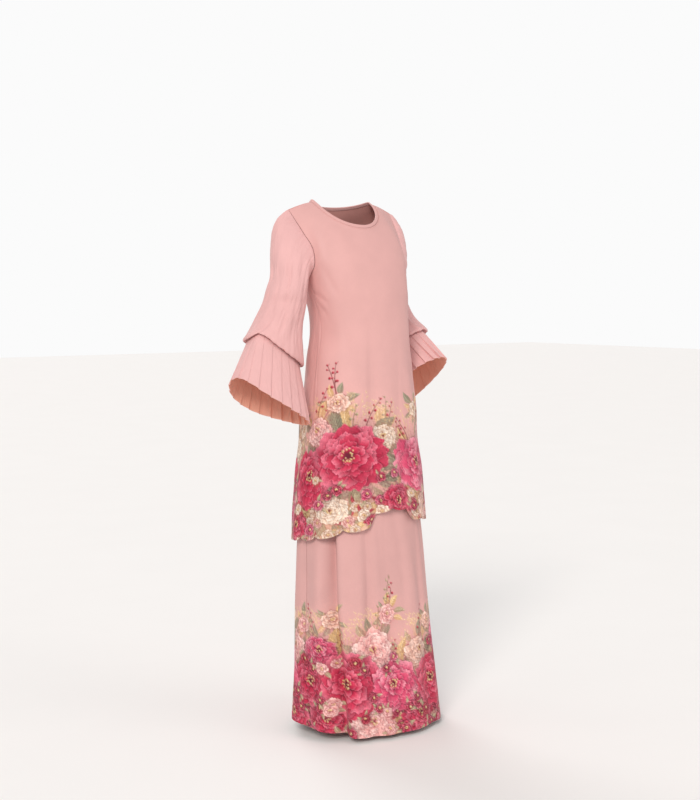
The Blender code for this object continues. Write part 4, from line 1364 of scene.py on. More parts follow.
def linear(hex_colour: str) -> Triple:
    """Turn an sRGB hex colour such as e8b0a8 into linear red, green and blue."""
    channels = [int(hex_colour[i:i + 2], 16) / 255 for i in (0, 2, 4)]
    red, green, blue = [c / 12.92 if c <= 0.04045 else ((c + 0.055) / 1.055) ** 2.4 for c in channels]
    return red, green, blue


class Tone(Enum):
    """Colours of a motif: its heart or shaded part, its main colour and its lit rim."""

    CRIMSON = ("54061e", "c12247", "f18da1")
    ROSE = ("7c1436", "d64169", "f9b4c1")
    BLUSH = ("cb6670", "f1b0aa", "fee9e0")
    PEACH = ("b8655c", "efbfab", "fde9dd")
    CREAM = ("cd8a6c", "f3d8c0", "fffaee")
    SAGE = ("5f5e4a", "8f8c74", "bdb79b")
    OLIVE = ("7d6c50", "ab9a7c", "d6c6a8")
    GOLD = ("ac8048", "dcb782", "f6e2bc")
    BERRY = ("6d0a20", "ad1c38", "e27484")

    def shades(self) -> list[Array]:
        """The tone's three colours, linear."""
        return [np.array(linear(colour)) for colour in self.value]


CRIMSON, ROSE, BLUSH, PEACH, CREAM, SAGE, OLIVE, GOLD, BERRY = Tone


class Blossom(NamedTuple):
    """A many-petalled flower: its angle, its height above the hem, its radius and its tone."""

    angle: float
    above: float
    radius: float
    tone: Tone


class Border(NamedTuple):
    """A border: the hem's level in front and behind, its seed, how high it reaches, its flowers.

    The edging lists the tones of the small flowers that lie close together along the hem, and
    the ground scales how bright the plain cloth is; below 1 it is painted shade over the whole cloth.
    """

    hem_front: float
    hem_back: float
    seed: int
    reach: float
    ground: float
    edging: tuple[Tone, ...]
    blossoms: tuple[Blossom, ...]


TUNIC_BORDER = Border(
    hem_front=-0.806, hem_back=-0.860, seed=17, reach=0.40, ground=1.0,
    edging=(CREAM, CREAM, BLUSH, GOLD, ROSE, CREAM, CRIMSON),
    blossoms=rows_of(Blossom, (
        (-100, 0.262, 0.024, CREAM), (-46, 0.312, 0.027, PEACH), (34, 0.286, 0.024, CREAM),
        (92, 0.270, 0.026, BLUSH), (150, 0.288, 0.026, CREAM), (-152, 0.285, 0.026, BLUSH),
        (-70, 0.246, 0.040, BLUSH), (-4, 0.218, 0.040, CREAM), (56, 0.222, 0.038, BLUSH),
        (120, 0.226, 0.038, CREAM), (178, 0.226, 0.038, BLUSH), (-124, 0.214, 0.038, CREAM),
        (-96, 0.020, 0.050, CRIMSON), (-54, 0.046, 0.044, CREAM), (4, 0.054, 0.054, CRIMSON),
        (44, 0.040, 0.046, PEACH), (68, 0.050, 0.050, CRIMSON), (124, 0.044, 0.050, CRIMSON),
        (172, 0.050, 0.046, CREAM), (-120, 0.070, 0.048, ROSE), (-82, 0.130, 0.078, CRIMSON),
        (-33, 0.172, 0.094, CRIMSON), (30, 0.144, 0.082, ROSE), (88, 0.140, 0.086, CRIMSON),
        (148, 0.146, 0.084, ROSE), (-148, 0.140, 0.088, CRIMSON),
    )),
)
# The skirt is the tunic's satin, but its plain cloth is painted 8% darker: painted shade on the skirt.
SKIRT_BORDER = Border(
    hem_front=-1.338, hem_back=-1.324, seed=29, reach=0.36, ground=0.92,
    edging=(CRIMSON, ROSE, CRIMSON, BERRY, ROSE, BLUSH),
    blossoms=rows_of(Blossom, (
        (-92, 0.262, 0.024, BLUSH), (-60, 0.286, 0.024, PEACH), (-6, 0.300, 0.026, BLUSH),
        (38, 0.262, 0.024, PEACH), (80, 0.284, 0.026, BLUSH), (136, 0.272, 0.026, CREAM),
        (-172, 0.284, 0.026, BLUSH), (-130, 0.268, 0.026, CREAM), (-74, 0.205, 0.050, ROSE),
        (-20, 0.212, 0.058, BLUSH), (18, 0.196, 0.044, PEACH), (58, 0.216, 0.052, ROSE),
        (112, 0.212, 0.050, ROSE), (160, 0.220, 0.048, BLUSH), (-148, 0.210, 0.050, ROSE),
        (-106, 0.202, 0.044, BLUSH), (-62, 0.036, 0.060, CRIMSON), (-24, 0.030, 0.056, BLUSH),
        (14, 0.034, 0.062, CRIMSON), (56, 0.032, 0.056, ROSE), (98, 0.036, 0.060, CRIMSON),
        (138, 0.032, 0.056, CREAM), (178, 0.036, 0.060, CRIMSON), (-142, 0.032, 0.056, ROSE),
        (-102, 0.036, 0.058, CRIMSON), (-84, 0.118, 0.074, CRIMSON), (-43, 0.128, 0.092, CRIMSON),
        (-3, 0.116, 0.076, ROSE), (36, 0.114, 0.082, CRIMSON), (77, 0.120, 0.076, ROSE),
        (118, 0.116, 0.082, CRIMSON), (158, 0.120, 0.076, ROSE), (-162, 0.116, 0.082, CRIMSON),
        (-122, 0.118, 0.080, ROSE),
    )),
)


@dataclass
class Patch:
    """The points of cloth round one motif, laid flat from its centre, with their paint and grain."""

    x: Array
    y: Array
    ink: Array
    grain: Array

    def lay(self, where: Array, colour: Array, cover: Array) -> None:
        """Lay paint over some of the points.

        Args:
            where: Numbers of the points.
            colour: Linear colour, one for all or one for each.
            cover: How far the paint covers each, from 0 to 1.
        """
        cover = np.clip(cover, 0.0, 1.0)[:, None]
        self.ink[where] = self.ink[where] * (1 - cover) + colour * cover

    def turned(self, base: Pair, direction: float, squash: float = 1.0) -> tuple[Array, Array]:
        """Places along and across a direction (radians from level), from a base."""
        x, y = self.x - base[0], (self.y - base[1]) / squash
        return x * cos(direction) + y * sin(direction), y * cos(direction) - x * sin(direction)

    def wash(self, base: Pair, radius: float, colour: Array, strength: float) -> None:
        """A soft stain of colour."""
        away = ((self.x - base[0]) ** 2 + (self.y - base[1]) ** 2) / radius ** 2
        where = np.flatnonzero(away < 4)
        self.lay(where, colour, strength * np.exp(-away[where] * (1.3 + 0.5 * self.grain[where])))

    def petal(self, base: Pair, direction: float, length: float, width: float,
              tone: Tone, light: float, ruffle: float, squash: float) -> None:
        """A petal with a dark base, a streaked blade and a pale ruffled rim."""
        heart, main, rim = tone.shades()
        along, across = self.turned(base, direction, squash)
        side = across / (width / 2)
        frill = 1 + 0.055 * np.sin(side * 5.5 + ruffle) + 0.035 * np.sin(side * 11 + 2 * ruffle)
        t = along / (length * frill)
        spill = PETAL_SHADE / length
        near = (t > -spill) & (t < 1 + spill) & (np.abs(side) < 1.3 + PETAL_SHADE / width)
        where = np.flatnonzero(near)
        t, side, across = t[where], side[where], across[where]
        half = width / 2 * np.sin(pi * np.clip(t, 0, 1) ** 1.45) ** 0.55
        inside = np.minimum(half - np.abs(across), np.minimum(t, 1 - t) * length)
        self.lay(where, heart * 0.55, 0.50 * (1 + inside / PETAL_SHADE) * (inside < 0))
        colour = heart + (main - heart) * eased((t - 0.02) / 0.62)[:, None]
        pale = 0.62 * eased((t - 0.48) / 0.52) * (0.62 + 0.38 * light)
        colour = colour + (rim - colour) * pale[:, None]
        edge = np.clip(1 - inside / 0.0032, 0, 1)[:, None]
        colour = colour + (rim - colour) * edge * (0.75 * eased((t - 0.25) / 0.4))[:, None]
        streak = 1 + 0.13 * np.sin(side * 13 + ruffle * 3 + 2 * self.grain[where]) * t
        shade = (1 - 0.34 * np.clip(side * light, 0, 1)) * streak * (1 + 0.07 * self.grain[where])
        self.lay(where, colour * shade[:, None], inside / PAINT_EDGE)

    def blossom(self, blossom: Blossom, rng: np.random.Generator) -> None:
        """A full flower, petal over petal from the outside in, with golden stamens."""
        radius, tone = blossom.radius, blossom.tone
        heart = tone.shades()[0]
        squash = rng.uniform(0.80, 0.98)
        lean = (rng.uniform(-0.12, 0.12) * radius, rng.uniform(0.02, 0.16) * radius)
        self.wash((0.0, -0.1 * radius), radius * 1.02, heart * 0.7, 0.40)
        turn = rng.uniform(0, 2 * pi)
        layers = PETAL_LAYERS if radius > 0.034 else PETAL_LAYERS[::2]
        for number, (count, reach, spread, start) in enumerate(layers):
            shift = number / len(layers)
            centre = (lean[0] * shift, lean[1] * shift)
            self.wash(centre, radius * reach * 0.80, heart * 0.8, 0.50)
            for i in rng.permutation(count):
                way = turn + 2 * pi * (i + rng.uniform(-0.22, 0.22)) / count
                size = radius * reach * rng.uniform(0.88, 1.08)
                base = (centre[0] + cos(way) * radius * start, centre[1] + sin(way) * radius * start * squash)
                self.petal(base, way, size - radius * start, size * spread * rng.uniform(0.9, 1.12), tone,
                           1.0 if rng.uniform() < 0.5 else -1.0, rng.uniform(0, 2 * pi), squash)
            turn += pi / count + 0.3
        self.stamens(lean, radius, rng)

    def stamens(self, centre: Pair, radius: float, rng: np.random.Generator) -> None:
        """A dark heart with a ring of golden stamens."""
        self.wash(centre, radius * 0.13, np.array(linear("6b1a2e")), 0.75)
        for _ in range(max(5, int(radius * 330))):
            way, out = rng.uniform(0, 2 * pi), radius * 0.19 * rng.uniform(0.15, 1.0) ** 0.6
            self.dot(polar(way, out, centre), rng.uniform(0.0012, 0.0021), GOLD, 0.9)

    def dot(self, base: Pair, radius: float, tone: Tone, strength: float = 1.0) -> None:
        """A round berry, bud or stamen with a lit side."""
        away = np.hypot(self.x - base[0], self.y - base[1])
        where = np.flatnonzero(away < radius + PAINT_EDGE)
        heart, main, rim = tone.shades()
        lit = 0.5 + (self.x[where] - base[0] + self.y[where] - base[1]) / (2.2 * radius)
        lit = np.clip(lit, 0, 1)[:, None] * 2
        colour = heart + (main - heart) * np.clip(lit, 0, 1) + (rim - main) * np.clip(lit - 1.2, 0, 1)
        self.lay(where, colour, (radius - away[where]) / PAINT_EDGE * strength + 0.5)

    def leaf(self, base: Pair, direction: float, length: float, width: float, tone: Tone,
             strength: float) -> None:
        """A pointed leaf with a pale midrib, side veins and one darker half."""
        heart, main, rim = tone.shades()
        along, across = self.turned(base, direction)
        across = across - 0.10 * length * np.sin(pi * np.clip(along / length, 0, 1))
        t = along / length
        where = np.flatnonzero((t > 0) & (t < 1) & (np.abs(across) < width))
        t, across = t[where], across[where]
        half = width / 2 * np.sin(pi * t ** 0.8) * (1 + 0.10 * np.abs(np.sin(t * 24)))
        inside = half - np.abs(across)
        colour = np.where(across[:, None] > 0, main, main * 0.55 + heart * 0.45)
        vein = np.clip(np.sin((t - np.abs(across) / length * 1.6) * 46), 0.4, 1) - 0.4
        colour = colour + (rim - colour) * (0.5 * vein)[:, None]
        colour = colour + (rim - colour) * (0.8 * np.clip(1 - np.abs(across) / 0.0011, 0, 1))[:, None]
        colour = colour * (1 + 0.10 * self.grain[where])[:, None]
        self.lay(where, colour, inside / PAINT_EDGE * strength)

    def stem(self, base: Pair, direction: float, length: float, bend: float,
             thickness: float, colour: Array, strength: float) -> None:
        """A thin curved stem."""
        along, across = self.turned(base, direction)
        where = np.flatnonzero((along > 0) & (along < length))
        t = along[where] / length
        inside = thickness / 2 * (1.15 - 0.6 * t) - np.abs(across[where] - bend * length * t * t)
        self.lay(where, colour, np.clip(inside / PAINT_EDGE + 0.5, 0, 1) * strength)

    def sprig(self, base: Pair, direction: float, length: float, tone: Tone,
              rng: np.random.Generator) -> None:
        """A stem with pairs of berries or buds."""
        bend = rng.uniform(-0.22, 0.22)
        self.stem(base, direction, length, bend, 0.0022, tone.shades()[0], 0.85)
        count = int(length / 0.0105)
        for i in range(2, count + 1):
            t = i / count
            side = (-1) ** i
            out = side * (0.0075 * (1.1 - 0.5 * t) if i < count else 0.0) + bend * length * t * t
            off = bend * length * t * t

            def at(along: float, across: float) -> Pair:
                """The place that far along the stem and to its side."""
                return (base[0] + cos(direction) * along - sin(direction) * across,
                        base[1] + sin(direction) * along + cos(direction) * across)

            self.stem(at(length * (t - 0.05), off), direction + side * 0.8, 0.008, 0.0, 0.0018,
                      tone.shades()[0], 0.7)
            self.dot(at(length * t, out), rng.uniform(0.0026, 0.0042) * (1.1 - 0.35 * t), tone)

    def spray(self, base: Pair, direction: float, length: float,
              rng: np.random.Generator) -> None:
        """A fan of pale gold grasses with seeds at their ends."""
        colour = GOLD.shades()[1]
        for i in range(7):
            way = direction + (i - 3) * 0.17 + rng.uniform(-0.06, 0.06)
            size = length * rng.uniform(0.65, 1.0)
            self.stem(base, way, size, rng.uniform(-0.12, 0.12), 0.0020, colour, 0.55)
            for k in range(4):
                t = 1 - 0.11 * k
                self.leaf(polar(way, size * t, base), way + (-1) ** k * 0.7, 0.012, 0.0046, GOLD, 0.6)


class BorderPainter:
    """Paints a border of flowers on the points of one garment's panels, right round its hem."""

    def __init__(self, sections: Sequence[Section], border: Border, ground: Array) -> None:
        """Take the garment's rings, its border and the colour of its plain cloth."""
        self.sections = sections
        self.border = border
        # The border's ground factor darkens the plain cloth; below 1 this is painted shade.
        self.ground = ground * border.ground
        self.parts: dict[str, tuple[Array, Array]] = {}
        self.result: dict[str, Array] = {}
        self.table_angles = np.linspace(-180.0, 180.0, 721)
        heights = np.full(len(self.table_angles), sections[-1].height)
        ring = ring_points(sections, (), heights, self.table_angles, self.table_angles)
        self.table = np.concatenate(([0.0], np.cumsum(norm(np.diff(ring, axis=0), axis=1))))
        self.girth = float(self.table[-1])

    def around(self, angles: Array) -> Array:
        """Length round the hem at some angles."""
        return np.interp(turn_between(angles, 0.0), self.table_angles, self.table)

    def level(self, angles: Array) -> Array:
        """Height of the border's lower line at some angles."""
        share = (1 - np.cos(np.radians(angles))) / 2
        return self.border.hem_front + (self.border.hem_back - self.border.hem_front) * share

    def add(self, name: str, angles: Array, heights: Array) -> None:
        """Add a panel's points, by the angles of its columns and their heights."""
        self.parts[name] = (np.broadcast_to(angles, heights.shape).ravel(), heights.ravel())

    def paint(self) -> None:
        """Paint every motif, from the faintest at the back to the blossoms in front."""
        angles = np.concatenate([part[0] for part in self.parts.values()])
        heights = np.concatenate([part[1] for part in self.parts.values()])
        self.x = self.around(angles)
        self.y = heights - self.level(angles)
        self.narrowing = ring_sizes(self.sections, heights)[:, 2] / self.sections[-1].half_width
        self.grain = ripple(3, (self.x, self.y), (0.007, 0.007), 18) * 0.5
        self.ink = np.tile(self.ground, (len(self.x), 1))
        self.rng = np.random.default_rng(self.border.seed)
        self.paint_ground()
        for blossom in self.border.blossoms:
            self.paint_backing(blossom)
        self.paint_edging()
        for paint in (self.paint_flower, self.paint_front):
            for blossom in self.border.blossoms:
                paint(blossom)
        start = 0
        for name, (part_angles, _) in self.parts.items():
            self.result[name] = self.ink[start:start + len(part_angles)]
            start += len(part_angles)

    def patch(self, angle: float, above: float, reach: float) -> tuple[Patch, Array]:
        """The points within reach of a place, as a patch, and their numbers."""
        x = self.x - float(self.around(angle))
        x = ((x + self.girth / 2) % self.girth - self.girth / 2) * self.narrowing
        y = self.y - above
        where = np.flatnonzero((np.abs(x) < reach) & (np.abs(y) < reach))
        return Patch(x[where], y[where], self.ink[where], self.grain[where]), where

    def paint_ground(self) -> None:
        """A faint warm mist in which the flowers stand, denser towards the hem."""
        for reach, strength, colour in ((self.border.reach, 0.30, "e3b49c"), (0.13, 0.55, "e2c19a")):
            mist = eased(1 - self.y / reach) * strength * (1 + 0.5 * self.grain)
            mist = np.clip(mist, 0, 0.8)[:, None]
            self.ink = self.ink * (1 - mist) + np.array(linear(colour)) * mist

    def paint_backing(self, blossom: Blossom) -> None:
        """Sprays, leaves and sprigs behind a flower."""
        rng, radius = self.rng, blossom.radius
        patch, where = self.patch(blossom.angle, blossom.above, radius * 2.2 + 0.10)
        patch.wash((0.0, 0.0), radius * 1.5, BLUSH.shades()[1], 0.35)
        if radius > 0.03:
            for _ in range(2):
                way = pi / 2 + rng.uniform(-0.8, 0.8)
                patch.spray(polar(way, radius * 0.6), way, radius * 0.75 + 0.04, rng)
        for i in range(LEAVES_PER_BLOSSOM):
            way = 2 * pi * (i + rng.uniform(-0.35, 0.35)) / LEAVES_PER_BLOSSOM
            length = (0.022 + radius * 0.55) * rng.uniform(0.75, 1.25)
            tone = pick((SAGE, OLIVE, SAGE, GOLD), rng)
            patch.leaf(polar(way, radius * 0.75), way + rng.uniform(-0.5, 0.5), length,
                       length * rng.uniform(0.34, 0.5), tone, rng.uniform(0.65, 0.95))
        if radius > 0.024 and blossom.above > self.border.reach * 0.28:
            for _ in range(2):
                way = pi / 2 + rng.uniform(-0.55, 0.55)
                patch.sprig(polar(way, radius * 0.8), way, rng.uniform(0.055, 0.085),
                            pick((BERRY, BERRY, OLIVE), rng), rng)
        self.ink[where] = patch.ink

    def paint_edging(self) -> None:
        """Small pale flowers and leaves, close together along the hem."""
        rng = self.rng
        count = int(self.girth / EDGING_SPACING)
        for row, above in enumerate(EDGING_ROWS):
            for i in range(count):
                place = (i + 0.5 * (row % 2) + rng.uniform(-0.3, 0.3)) % count * self.girth / count
                angle = float(np.interp(place, self.table, self.table_angles))
                patch, where = self.patch(angle, above + rng.uniform(-0.008, 0.008), 0.05)
                size = rng.uniform(0.012, 0.021)
                for _ in range(4):
                    way = rng.uniform(0, 2 * pi)
                    tone = pick((OLIVE, GOLD, SAGE, BERRY, GOLD), rng)
                    patch.leaf(polar(way, size * 0.4), way, size * rng.uniform(1.2, 1.9),
                               size * rng.uniform(0.55, 0.8), tone, rng.uniform(0.6, 0.9))
                patch.blossom(Blossom(0.0, 0.0, size, pick(self.border.edging, rng)), rng)
                self.ink[where] = patch.ink

    def paint_flower(self, blossom: Blossom) -> None:
        """A flower itself."""
        patch, where = self.patch(blossom.angle, blossom.above, blossom.radius * 1.5)
        patch.blossom(blossom, self.rng)
        self.ink[where] = patch.ink

    def paint_front(self, blossom: Blossom) -> None:
        """Small flowers and leaves that lie over a large flower's edge."""
        rng, radius = self.rng, blossom.radius
        if radius < 0.05:
            return
        patch, where = self.patch(blossom.angle, blossom.above, radius * 2.4)
        for i in range(SMALL_FLOWERS_PER_BLOSSOM):
            way = -pi / 2 + (i - (SMALL_FLOWERS_PER_BLOSSOM - 1) / 2) * 0.75 + rng.uniform(-0.25, 0.25)
            out = radius * rng.uniform(0.92, 1.18)
            centre = (cos(way) * out, sin(way) * out * 0.9)
            size = rng.uniform(0.012, 0.020)
            for _ in range(2):
                leaf_way = rng.uniform(0, 2 * pi)
                patch.leaf(polar(leaf_way, size * 0.4, centre), leaf_way, size * 1.5, size * 0.6, OLIVE, 0.9)
            small = Patch(patch.x - centre[0], patch.y - centre[1], patch.ink, patch.grain)
            small.blossom(Blossom(0.0, 0.0, size, pick(self.border.edging, rng)), rng)
        self.ink[where] = patch.ink


# --- Finishes ---

Sockets = dict[str | int, object]


def add_node(tree: NodeTree, kind: str, settings: Optional[dict[str, object]] = None,
             inputs: Optional[Sockets] = None) -> Node:
    """Add a node with its settings and inputs.

    Args:
        tree: The node tree.
        kind: The node's type.
        settings: Properties of the node.
        inputs: Values of its inputs or the sockets linked to them, by name or number.

    Returns:
        The node.
    """
    node = tree.nodes.new(kind)
    for key, value in (settings or {}).items():
        setattr(node, key, value)
    for key, value in (inputs or {}).items():
        if isinstance(value, NodeSocket):
            tree.links.new(value, node.inputs[key])
        else:
            node.inputs[key].default_value = value
    return node


@dataclass(frozen=True)
class Finish:
    """A cloth finish: its real material, its colours and how its surface catches the light."""

    name: str
    colour: str
    back_colour: str
    roughness: float
    sheen: float
    specular: float
    thread: float
    thread_depth: float
    crinkle: float
    crinkle_depth: float
    upright: float = 1.0
    sheen_colour: str = "fff0ea"

    def ground(self) -> Array:
        """Linear colour of the cloth's right side."""
        return np.array(linear(self.colour))

    def wrong_side(self) -> Array:
        """Linear colour of the cloth's wrong side, which for the chiffon also carries painted light."""
        return np.array(linear(self.back_colour))

    @cached_property
    def material(self) -> Material:
        """The material, made once and shared by all pieces of this cloth."""
        material = bpy.data.materials.new(self.name)
        material.use_nodes = True
        tree = material.node_tree
        shader = tree.nodes["Principled BSDF"]
        place = add_node(tree, "ShaderNodeTexCoord").outputs["Object"]
        paint = add_node(tree, "ShaderNodeAttribute", {"attribute_name": PRINT_ATTRIBUTE})
        uneven = add_node(tree, "ShaderNodeTexNoise", inputs={"Vector": place, "Scale": 14.0, "Detail": 3.0})
        slub = add_node(tree, "ShaderNodeTexNoise",
                        inputs={"Vector": place, "Scale": 1 / self.thread, "Detail": 2.0})
        cloud = add_node(tree, "ShaderNodeMapRange", inputs={
            "Value": uneven.outputs["Fac"], "From Min": 0.3, "From Max": 0.7,
            "To Min": 0.965, "To Max": 1.03})
        speck = add_node(tree, "ShaderNodeMapRange", inputs={
            "Value": slub.outputs["Fac"], "From Min": 0.25, "From Max": 0.75,
            "To Min": 0.972, "To Max": 1.022})
        both = add_node(tree, "ShaderNodeMath", {"operation": "MULTIPLY"},
                        {0: cloud.outputs["Result"], 1: speck.outputs["Result"]})
        colour = add_node(tree, "ShaderNodeVectorMath", {"operation": "SCALE"},
                          {0: paint.outputs["Color"], "Scale": both.outputs["Value"]})
        tree.links.new(colour.outputs["Vector"], shader.inputs["Base Color"])
        rough = add_node(tree, "ShaderNodeMapRange", inputs={
            "Value": uneven.outputs["Fac"], "From Min": 0.3, "From Max": 0.7,
            "To Min": self.roughness - 0.04, "To Max": self.roughness + 0.05})
        tree.links.new(rough.outputs["Result"], shader.inputs["Roughness"])
        stretch = add_node(tree, "ShaderNodeMapping",
                           inputs={"Vector": place, "Scale": (1.0, 1.0, self.upright)})
        creased = add_node(tree, "ShaderNodeTexNoise", inputs={
            "Vector": stretch.outputs["Vector"], "Scale": 1 / self.crinkle, "Detail": 4.0, "Distortion": 0.6})
        fine = add_node(tree, "ShaderNodeBump",
                        inputs={"Height": slub.outputs["Fac"], "Strength": 0.35,
                                "Distance": self.thread_depth})
        bump = add_node(tree, "ShaderNodeBump",
                        inputs={"Height": creased.outputs["Fac"], "Strength": 0.5,
                                "Distance": self.crinkle_depth, "Normal": fine.outputs["Normal"]})
        tree.links.new(bump.outputs["Normal"], shader.inputs["Normal"])
        shader.inputs["Sheen Weight"].default_value = self.sheen
        shader.inputs["Sheen Roughness"].default_value = 0.45
        shader.inputs["Sheen Tint"].default_value = (*linear(self.sheen_colour), 1.0)
        shader.inputs["Specular IOR Level"].default_value = self.specular
        shader.inputs["IOR"].default_value = 1.5
        return material


def satin_backed_crepe() -> Finish:
    """Polyester satin-backed crepe, woven with twisted threads and printed by transfer.

    It gives a soft low lustre with a fine pebbled grain. Its real grain of 0.4 mm is too fine
    to show, so it is drawn at 1.1 mm.
    """
    return Finish("dusty pink satin-backed crepe", "d6a5a1", "cd958e", roughness=0.54, sheen=0.05,
                  specular=0.22, thread=0.0011, thread_depth=0.00025, crinkle=0.045,
                  crinkle_depth=0.0012, upright=0.35)


def crinkled_chiffon() -> Finish:
    """Polyester chiffon, heat-set so that it keeps fine upright crinkles.

    It gives a dry matt face with thin broken lines of light about 3 mm apart.
    """
    # Its wrong side is given warmer and a little lighter than its face: painted light that brightens the
    # flounces' insides.
    return Finish("dusty pink crinkled chiffon", "ddadab", "eeb09a", roughness=0.68, sheen=0.18,
                  specular=0.25, thread=0.0012, thread_depth=0.0003, crinkle=0.0065,
                  crinkle_depth=0.0016, upright=0.16, sheen_colour="fff2ec")


def woven_elastic() -> Finish:
    """Woven elastic band of rubber threads wrapped in polyester, with a dull ribbed face."""
    return Finish("dusty pink woven elastic", "dfa79e", "d79c92", roughness=0.75, sheen=0.15,
                  specular=0.25, thread=0.0014, thread_depth=0.0004, crinkle=0.012,
                  crinkle_depth=0.0005)


def sewing_thread() -> Finish:
    """Spun polyester sewing thread, slightly darker than the cloth and dull."""
    return Finish("dusty pink spun polyester thread", "dd9f96", "dd9f96", roughness=0.6, sheen=0.1,
                  specular=0.35, thread=0.0009, thread_depth=0.0002, crinkle=0.01,
                  crinkle_depth=0.0001)


# --- Topstitching ---

@dataclass
class Topstitching:
    """Rows of stitches along the neckline and the hems, set out by Geometry Nodes."""

    pitch: float = 0.0036
    length: float = 0.0027
    thickness: float = 0.0007
    lift: float = 0.0002
    lines: list[Array] = field(default_factory=list)

    def add_line(self, points: Array, directions: Array) -> None:
        """Add a line for the stitches to follow, just proud of the cloth."""
        self.lines.append(points + directions * self.lift)

    def tree(self, material: Material) -> NodeTree:
        """The node tree that lays a stitch at each pitch along the lines."""
        tree = bpy.data.node_groups.new("stitch rows", "GeometryNodeTree")
        tree.interface.new_socket("Lines", in_out="INPUT", socket_type="NodeSocketGeometry")
        for name in ("Pitch", "Length", "Thickness"):
            tree.interface.new_socket(name, in_out="INPUT", socket_type="NodeSocketFloat")
        tree.interface.new_socket("Stitches", in_out="OUTPUT", socket_type="NodeSocketGeometry")
        source = add_node(tree, "NodeGroupInput")
        curve = add_node(tree, "GeometryNodeMeshToCurve", inputs={"Mesh": source.outputs["Lines"]})
        points = add_node(tree, "GeometryNodeCurveToPoints", {"mode": "LENGTH"},
                          {"Curve": curve.outputs["Curve"], "Length": source.outputs["Pitch"]})
        ball = add_node(tree, "GeometryNodeMeshUVSphere", inputs={"Segments": 6, "Rings": 4, "Radius": 0.5})
        size = add_node(tree, "ShaderNodeCombineXYZ", inputs={
            "X": source.outputs["Thickness"], "Y": source.outputs["Thickness"],
            "Z": source.outputs["Length"]})
        stitch = add_node(tree, "GeometryNodeTransform",
                          inputs={"Geometry": ball.outputs["Mesh"], "Scale": size.outputs["Vector"]})
        placed = add_node(tree, "GeometryNodeInstanceOnPoints", inputs={
            "Points": points.outputs["Points"], "Instance": stitch.outputs["Geometry"],
            "Rotation": points.outputs["Rotation"]})
        real = add_node(tree, "GeometryNodeRealizeInstances",
                        inputs={"Geometry": placed.outputs["Instances"]})
        dressed = add_node(tree, "GeometryNodeSetMaterial",
                           inputs={"Geometry": real.outputs["Geometry"], "Material": material})
        add_node(tree, "NodeGroupOutput", inputs={"Stitches": dressed.outputs["Geometry"]})
        return tree

    def build(self, thread: Finish) -> None:
        """Build all the stitches as one plain mesh."""
        edges: list[tuple[int, int]] = []
        start = 0
        for line in self.lines:
            edges += [(i, i + 1) for i in range(start, start + len(line) - 1)]
            start += len(line)
        guide_mesh = bpy.data.meshes.new("stitch lines")
        guide_mesh.from_pydata(np.concatenate(self.lines).tolist(), edges, [])
        guide = place_object("stitch lines", guide_mesh)
        modifier = guide.modifiers.new("stitch rows", "NODES")
        modifier.node_group = self.tree(thread.material)
        sizes = {"Pitch": self.pitch, "Length": self.length, "Thickness": self.thickness}
        for item in modifier.node_group.interface.items_tree:
            if item.name in sizes:
                modifier[item.identifier] = sizes[item.name]
        evaluated = guide.evaluated_get(bpy.context.evaluated_depsgraph_get())
        mesh = bpy.data.meshes.new_from_object(evaluated)
        guide.modifiers.remove(modifier)
        bpy.data.objects.remove(guide, do_unlink=True)
        mesh.name = "topstitching"
        print_points(mesh, np.tile(thread.ground(), (len(mesh.vertices), 1)))
        mesh.shade_smooth()
        piece = place_object("topstitching", mesh)
        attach(piece, "root")
        LOG.info("%s: %d faces", piece.name, len(mesh.polygons))


# --- Studio ---

